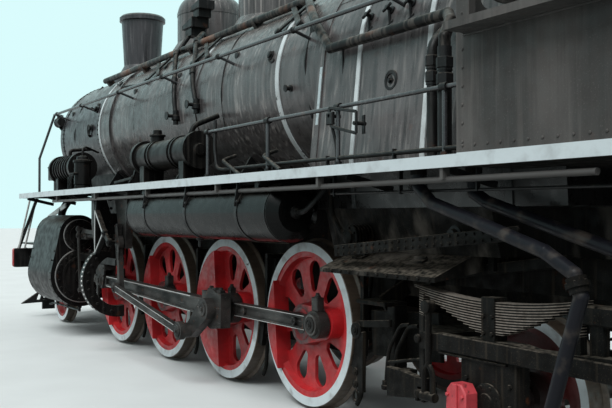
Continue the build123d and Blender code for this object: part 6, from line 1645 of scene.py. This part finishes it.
# water gauges with their cocks
brass.lathe(
    (back - 0.09, 0.42, 2.72), upward,
    [(0, 0.022), (0.03, 0.022), (0.034, 0.014), (0.3, 0.014), (0.304, 0.022), (0.34, 0.022)], 14,
)
for z in (2.73, 3.05):
    brass.lathe(
        (back, 0.42, z), -forward, [
            (0, 0.03), (0.02, 0.03), (0.024, 0.016), (0.12, 0.016), (0.13, 0.024),
        ], 12,
    )
made.mirror()
brass.mirror()
oval = [(0.3 * cos(angle), 0.21 * sin(angle)) for angle in circle(32)]
made.plate(oval, (back, 0, door), -outward, upward, -0.03, 0.006)
for y, z in backTrim["dials"]:
    brass.lathe(
        (back, y, z), -forward,
        [(0, 0.03), (0.06, 0.03), (0.065, 0.085), (0.1, 0.085), (0.104, 0.078), (0.098, 0.074)], 28,
    )
    dials.lathe((back - 0.094, y, z), -forward, [(0, 0.074), (0.004, 0.072)], 28)
for y, z, radius in (
    (-0.62, 3.3, 0.06), (-0.3, 3.12, 0.05), (0.62, 3.3, 0.06), (0.75, 2.95, 0.06), (-0.75, 2.95, 0.06),
    (0, 3.05, 0.05),
):
    wheel = at(back - 0.15, y, z)
    made.tube([(back, y, z), wheel], 0.013)
    made.lathe((back, y, z), -forward, [(0, 0.032), (0.03, 0.032), (0.034, 0.02)], 6)
    made.ring(wheel, outward * radius, upward * radius, 0.009, 20)
    for angle in circle(4, 0.4):
        made.tube([wheel, wheel + (outward * cos(angle) + upward * sin(angle)) * radius], 0.006, sides=6)
made.tube(
    [(back, 0.0, 3.3), (back - 0.16, 0.0, 3.3), (back - 0.18, 0.42, 3.18), (back - 0.18, 0.62, 3.1)], 0.018,
    0.05,
)
ball(made, at(back - 0.18, 0.66, 3.085), 0.028)
for y in (-0.55, -0.2, 0.2, 0.55):
    brass.tube(
        [
            (back - 0.02, y, 3.55), (back - 0.06, y, 3.4), (back - 0.06, y * 1.2, 3.0),
            (back - 0.04, y * 1.4, 2.5),
        ],
        0.011, 0.06, 8,
    )
# brake stand, reversing wheel and injector handles on the driver's side
made.lathe(
    (-7.9, 1.16, boardTop), upward,
    [(0, 0.09), (0.02, 0.09), (0.026, 0.045), (0.82, 0.04), (0.826, 0.08), (0.92, 0.08), (0.93, 0.05)], 20,
)
made.tube([(-7.9, 1.16, 2.84), (-7.98, 1.1, 2.87), (-8.1, 1.0, 2.87)], 0.014, 0.03)
ball(made, at(-8.11, 0.99, 2.87), 0.022)
made.lathe((-7.75, 0.98, boardTop), upward, [(0, 0.08), (0.02, 0.08), (0.03, 0.05), (0.62, 0.045)], 18)
screw = at(-7.75, 0.98, 2.56)
made.ring(screw - forward * 0.1, outward * 0.19, upward * 0.19, 0.014, 28)
made.tube([screw, screw - forward * 0.12], 0.03)
for angle in circle(3, 0.5):
    made.tube(
        [screw - forward * 0.1, screw - forward * 0.1 + (outward * cos(angle) + upward * sin(angle)) * 0.19],
        0.011, sides=8,
    )
for y in (-0.55, -0.8):
    made.tube([(-7.62, y, 2.0), (-7.75, y, 2.45)], 0.013)
    ball(made, at(-7.752, y, 2.46), 0.022)
piece("backheadFittings", made, "blackPaint")
piece("backheadBrass", brass, "brass")
piece("gaugeDials", dials, "dialWhite")
print("cab fitted out")

# Seats: slatted boxes with padded cushions in the CAD seats' place
seatTrim = {
    "x": -8.35, "long": 0.46, "y": 1.13, "wide": 0.42, "foot": boardTop, "top": 2.54, "backX": -8.56,
    "backTop": 3.02, "pad": 0.085,
}


def cushion(name, middle, size, facing):
    # a crowned pad: its sides pull in between the corners, and a seam runs round its middle
    long, wide, thick = size
    across, up = facing
    normal = across.cross(up).normalized()
    pad = Shape()
    steps, rings = 40, []
    for level in (-1.0, -0.9, -0.62, -0.25, 0.0, 0.25, 0.62, 0.9, 1.0):
        ring = []
        swell = (1 - abs(level) ** 2.6) ** 0.5 if abs(level) < 1 else 0.0
        for angle in circle(steps, pi / 4):
            c, s = cos(angle), sin(angle)
            soft = (abs(c) ** 5 + abs(s) ** 5) ** -0.2
            pull = 1 - 0.05 * (1 - abs(c * s) * 2)
            reach = 0.86 + 0.14 * swell
            x, y = c * soft * reach * pull * long / 2, s * soft * reach * pull * wide / 2
            ring.append(middle + across * x + up * y + normal * level * thick * 0.42)
        rings.append(ring)
    for share in (0.8, 0.55, 0.3):
        crown = []
        for point in rings[8][:steps]:
            flat = point - middle - normal * thick * 0.42
            crown.append(middle + flat * share + normal * thick * (0.42 + 0.08 * (1 - share**2)))
        rings.append(crown)
    pad.loft(rings)
    pad.tube(rings[4] + rings[4][:1], 0.006, sides=6)
    for y in (-0.3, 0, 0.3):
        for x in (-0.3, 0.3):
            spot = middle + across * x * long + up * y * wide + normal * thick * 0.488
            pad.lathe(spot, normal, [(-0.004, 0.012), (0.002, 0.012), (0.005, 0.006)], 10)
    made = piece(name, pad, "seatLeather")
    smooth = made.modifiers.new("soften", "SUBSURF")
    smooth.levels = smooth.render_levels = 1
    return made


long, wide, foot, thick = (seatTrim[key] for key in ("long", "wide", "foot", "pad"))
top = seatTrim["top"] - thick
seatPieces = []
for side, name in sides.items():
    base = Shape()
    x, y, backX = seatTrim["x"], side * seatTrim["y"], seatTrim["backX"]
    base.plate(
        rectangle(long - 0.02, top - foot, (0, (top - foot) / 2)), (x, y - wide / 2 + 0.01, foot), forward,
        upward, -(wide - 0.02), 0.006,
    )
    for step in range(5):
        level = foot + 0.06 + 0.1 * step
        base.block(
            (x, side * (seatTrim["y"] - wide / 2 + 0.006), level + 0.035), (long - 0.05, 0.012, 0.085), 0.004,
        )
    base.block(
        (backX, y, (top + seatTrim["backTop"]) / 2), (0.03, wide - 0.03, seatTrim["backTop"] - top - 0.01),
        0.006,
    )
    seatPieces.append(piece(f"seatBox_{name}", base, "seatWood"))
    pads = [
        cushion(
            f"seatCushion_{name}", at(x + 0.015, y, top + thick / 2), (0.42, 0.4, thick), (forward, outward),
        ),
        cushion(f"seatBack_{name}", at(backX + 0.045, y, 2.79), (0.38, 0.4, 0.06), (outward, upward)),
    ]
    seatPieces += pads
for made in seatPieces:
    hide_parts("cab_seats")

# Trailing truck: journal covers, clevis pins, spring buckle bolts and the red oil box
trailTrim = {"axle": -7.06, "face": 1.1, "journalZ": 0.5, "clevis": -6.42, "hangerY": 1.12, "stayY": 1.02}
axle, face, hangerY, stayY = (trailTrim[key] for key in ("axle", "face", "hangerY", "stayY"))
made, red = Shape(), Shape()
hub = at(axle, face, trailTrim["journalZ"])
made.lathe(hub, outward, [(-0.004, 0.115), (0.012, 0.115), (0.018, 0.105), (0.02, 0.06), (0.028, 0.055)], 36)
made.boltCircle(hub + outward * 0.012, outward, 0.095, 8, 0.012)
for x in (-0.18, 0.18):
    made.bolts([(axle + x, face, z) for z in (0.38, 0.5, 0.62)], outward, 0.016)
for z in (0.45, 0.8):
    made.lathe((trailTrim["clevis"], 1.0, z), outward, [(-0.012, 0.024), (0.118, 0.024), (0.122, 0.018)], 16)
    made.nut((trailTrim["clevis"], 1.108, z), outward, 0.028, 0.016)
for x in (-0.035, 0.035):
    made.bolts([(axle + x, face, z) for z in (1.0, 0.9)], outward, 0.014)
for step in range(6):
    made.bolts([(axle + 0.55 - 0.12 * step - 0.3 * (step > 2), face, 0.792)], outward, 0.014)
# long hanger with its fork
made.bar((-6.64, hangerY, 0.81), (-8.1, hangerY, 0.8), 0.1, 0.03, 0.004)
made.block((-6.93, 1.04, 0.738), (0.58, 0.16, 0.012), 0.003)
made.block((-7.93, stayY, 1.07), (0.42, 0.12, 0.1), 0.008)
for x in (-7.8, -8.05):
    made.bar((x, stayY, 1.03), (x, stayY, 0.86), 0.1, 0.05, 0.006)
made.tube([(-6.543, hangerY, 1.0), (-6.543, hangerY, 0.64)], 0.022, sides=12)
made.lathe((-6.543, 1.09, 1.015), outward, [(0, 0.042), (0.06, 0.042), (0.064, 0.034)], 18)
fork = [(-6.5, 0.43), (-6.5, 0.6), (-6.543, 0.66), (-6.586, 0.6), (-6.586, 0.43)]
made.tube([(x, hangerY, z) for x, z in fork], 0.018, 0.05, 10)
made.lathe((-6.48, hangerY, 0.45), -forward, [(0, 0.03), (0.13, 0.03)], 14)
made.mirror()
for side in (1, -1):
    away = outward * side
    box = at(-6.91, side * 1.17, 0.5)
    lid = [(-0.09, -0.12), (0.09, -0.12), (0.08, 0.06), (0.04, 0.1), (-0.05, 0.1), (-0.09, 0.05)]
    red.plate(lid, box - away * 0.05, forward * side, upward, -0.1, 0.008)
    red.plate(rectangle(0.05, 0.2, (0, 0.0)), box + away * 0.05, forward * side, upward, -0.014, 0.004)
    for shift in (-0.065, 0.065):
        red.bolts([box + away * 0.052 + Vector((shift, 0, z)) for z in (-0.08, 0.03)], away, 0.012)
piece("trailingFittings", made, "grime", "trailing_truck")
piece("oilBoxes", red, "boxRed", "trailing_truck")

# Thick pipes' clamps at the lower bends and flanges under the running board
hoseTrim = {
    "clamp": (
        (-7.905, 1.32, 1.3), (-7.945, 1.32, 1.192),
    ), "flanges": ((-6.7, 1.32, 1.86), (-7.0, 1.15, 1.86)),
}
made = Shape()
first, second = (at(*end) for end in hoseTrim["clamp"])
middle, way = (first + second) / 2, (second - first).normalized()
made.lathe(
    middle - way * 0.04, way,
    [(0, 0.052), (0.028, 0.052), (0.028, 0.062), (0.052, 0.062), (0.052, 0.05), (0.08, 0.05)], 24,
)
made.boltCircle(middle - way * 0.012, -way, 0.056, 6, 0.007)
for flange in hoseTrim["flanges"]:
    made.lathe(flange, upward, [(-0.03, 0.05), (0.02, 0.05), (0.025, 0.065), (0.03, 0.065)], 20)
both("pipeFlanges", made, "grime")

# Front end: beam bolts, knuckle pin, uncoupling rod, air hose cock and step treads
frontTrim = {"beam": 3.61, "z": 0.93}
made = Shape()
made.bolts(
    [
        (frontTrim["beam"], 0.3 + 0.16 * step, frontTrim["z"] + level)
        for step in range(7)
        for level in (-0.1, 0.1)
    ],
    forward, 0.015,
)
made.tube([(3.66, 1.24, 0.98), (3.7, 1.1, 0.86), (3.7, 0.24, 0.86)], 0.015, 0.06)
made.lathe((3.605, 1.24, 0.98), forward, [(0, 0.03), (0.07, 0.03)], 12)
made.bolts([(2.4 + 0.2 * step, 1.16, 1.082 + 0.003) for step in range(6)], upward, 0.01)
made.mirror()
made.lathe((3.92, 0.0, 0.7), upward, [(0, 0.04), (0.01, 0.045), (0.35, 0.045), (0.36, 0.03)], 20)
made.tube(
    [(3.62, -0.42, 0.84), (3.72, -0.42, 0.84), (3.76, -0.42, 0.74), (3.76, -0.42, 0.45)], 0.03, 0.06, 14,
)
made.lathe((3.76, -0.42, 0.36), upward, [(0, 0.04), (0.02, 0.044), (0.07, 0.044), (0.09, 0.032)], 16)
piece("beamFittings", made, "blackPaint", slotName="cast_iron")

# Steam fittings on top: valve wheels, safety valve caps, whistle and pipes to the dome
valveTrim = {"x": -6.8, "z": 3.84, "safety": (-5.85, -6.2), "whistle": (-5.2, 0.28, 3.63)}
made = Shape()
x, z = valveTrim["x"], valveTrim["z"]
wheel = at(x, 0.26, z)
made.tube([(x, 0.15, z), wheel], 0.014)
made.ring(wheel, forward * 0.06, upward * 0.06, 0.009, 18)
made.tube([(-6.7, 0.14, 3.8), (-6.7, 0.4, 3.78), (-6.75, 0.7, 3.5), (-6.75, 0.88, 3.2)], 0.022, 0.12, 12)
made.mirror()
for place in valveTrim["safety"]:
    made.lathe((place, 0, 4.0), upward, [(0, 0.05), (0.02, 0.06), (0.05, 0.06), (0.06, 0.03)], 20)
made.lathe(
    valveTrim["whistle"], upward,
    [
        (0, 0.04), (0.05, 0.04), (0.055, 0.03), (0.1, 0.03), (0.105, 0.045), (0.3, 0.045), (0.31, 0.03),
        (0.34, 0.012),
    ],
    20,
)
piece("steamValves", made, "casting")
print("trucks and ends dressed")

# Camera as in the photograph: a standing eye behind the engine's left side
view = {"lens": 52.1, "place": at(-10.905, 4.67, 1.577), "heading": 31.3, "pitch": 0.84}
camera = bpy.data.objects.new("camera", bpy.data.cameras.new("camera"))
bpy.context.scene.collection.objects.link(camera)
camera.data.lens = view["lens"]
camera.data.sensor_width = 36.0
camera.location = view["place"]
heading = radians(view["heading"])
looking = Vector((cos(heading), -sin(heading), sin(radians(view["pitch"]))))
camera.rotation_euler = looking.to_track_quat("-Z", "Y").to_euler()
camera.data.clip_start = 0.05
camera.data.clip_end = 400.0
bpy.context.scene.camera = camera

# Plain studio: a pale floor, a pale sky and one broad soft lamp
studio = {
    "floor": paint(214, 222, 222), "floorBounce": paint(72, 72, 70), "sky": paint(218, 252, 253),
    "light": (1.0, 0.98, 0.97, 1.0), "lightLevel": 0.5, "sun": 2.6,
}
floorMesh = bpy.data.meshes.new("floor")
reach = 120.0
floorMesh.from_pydata(
    [(-reach, -reach, 0), (reach, -reach, 0), (reach, reach, 0), (-reach, reach, 0)], [], [(0, 1, 2, 3)],
)
floor = bpy.data.objects.new("floor", floorMesh)
bpy.context.scene.collection.objects.link(floor)
ground = Finish("floor")
shades = ground.blend(ground.seenDirectly(), studio["floorBounce"], studio["floor"])
grain = ground.between(ground.noise(1.2, 5), 0.3, 0.7)
ground.set(Base_Color=ground.blend(grain * 0.06, shades, studio["floorBounce"]), Roughness=0.8)
floorMesh.materials.append(ground.material)

world = bpy.data.worlds.new("sky")
bpy.context.scene.world = world
sky = Network(world)
lamp = sky.node("ShaderNodeBackground", {}, {"Color": studio["light"], "Strength": studio["lightLevel"]})
seen = sky.node("ShaderNodeBackground", {}, {"Color": studio["sky"], "Strength": 1.0})
chosen = sky.node("ShaderNodeMixShader", {}, {0: sky.seenDirectly(), 1: lamp, 2: seen})
sky.node("ShaderNodeOutputWorld", {}, {"Surface": chosen}, out=None)

sun = bpy.data.objects.new("softLamp", bpy.data.lights.new("softLamp", "SUN"))
bpy.context.scene.collection.objects.link(sun)
sun.data.energy = studio["sun"]
sun.data.angle = radians(40)
sun.rotation_euler = Vector((0.35, -0.55, -0.9)).to_track_quat("-Z", "Y").to_euler()
bpy.context.scene.view_settings.view_transform = "Standard"
print("camera and studio ready")
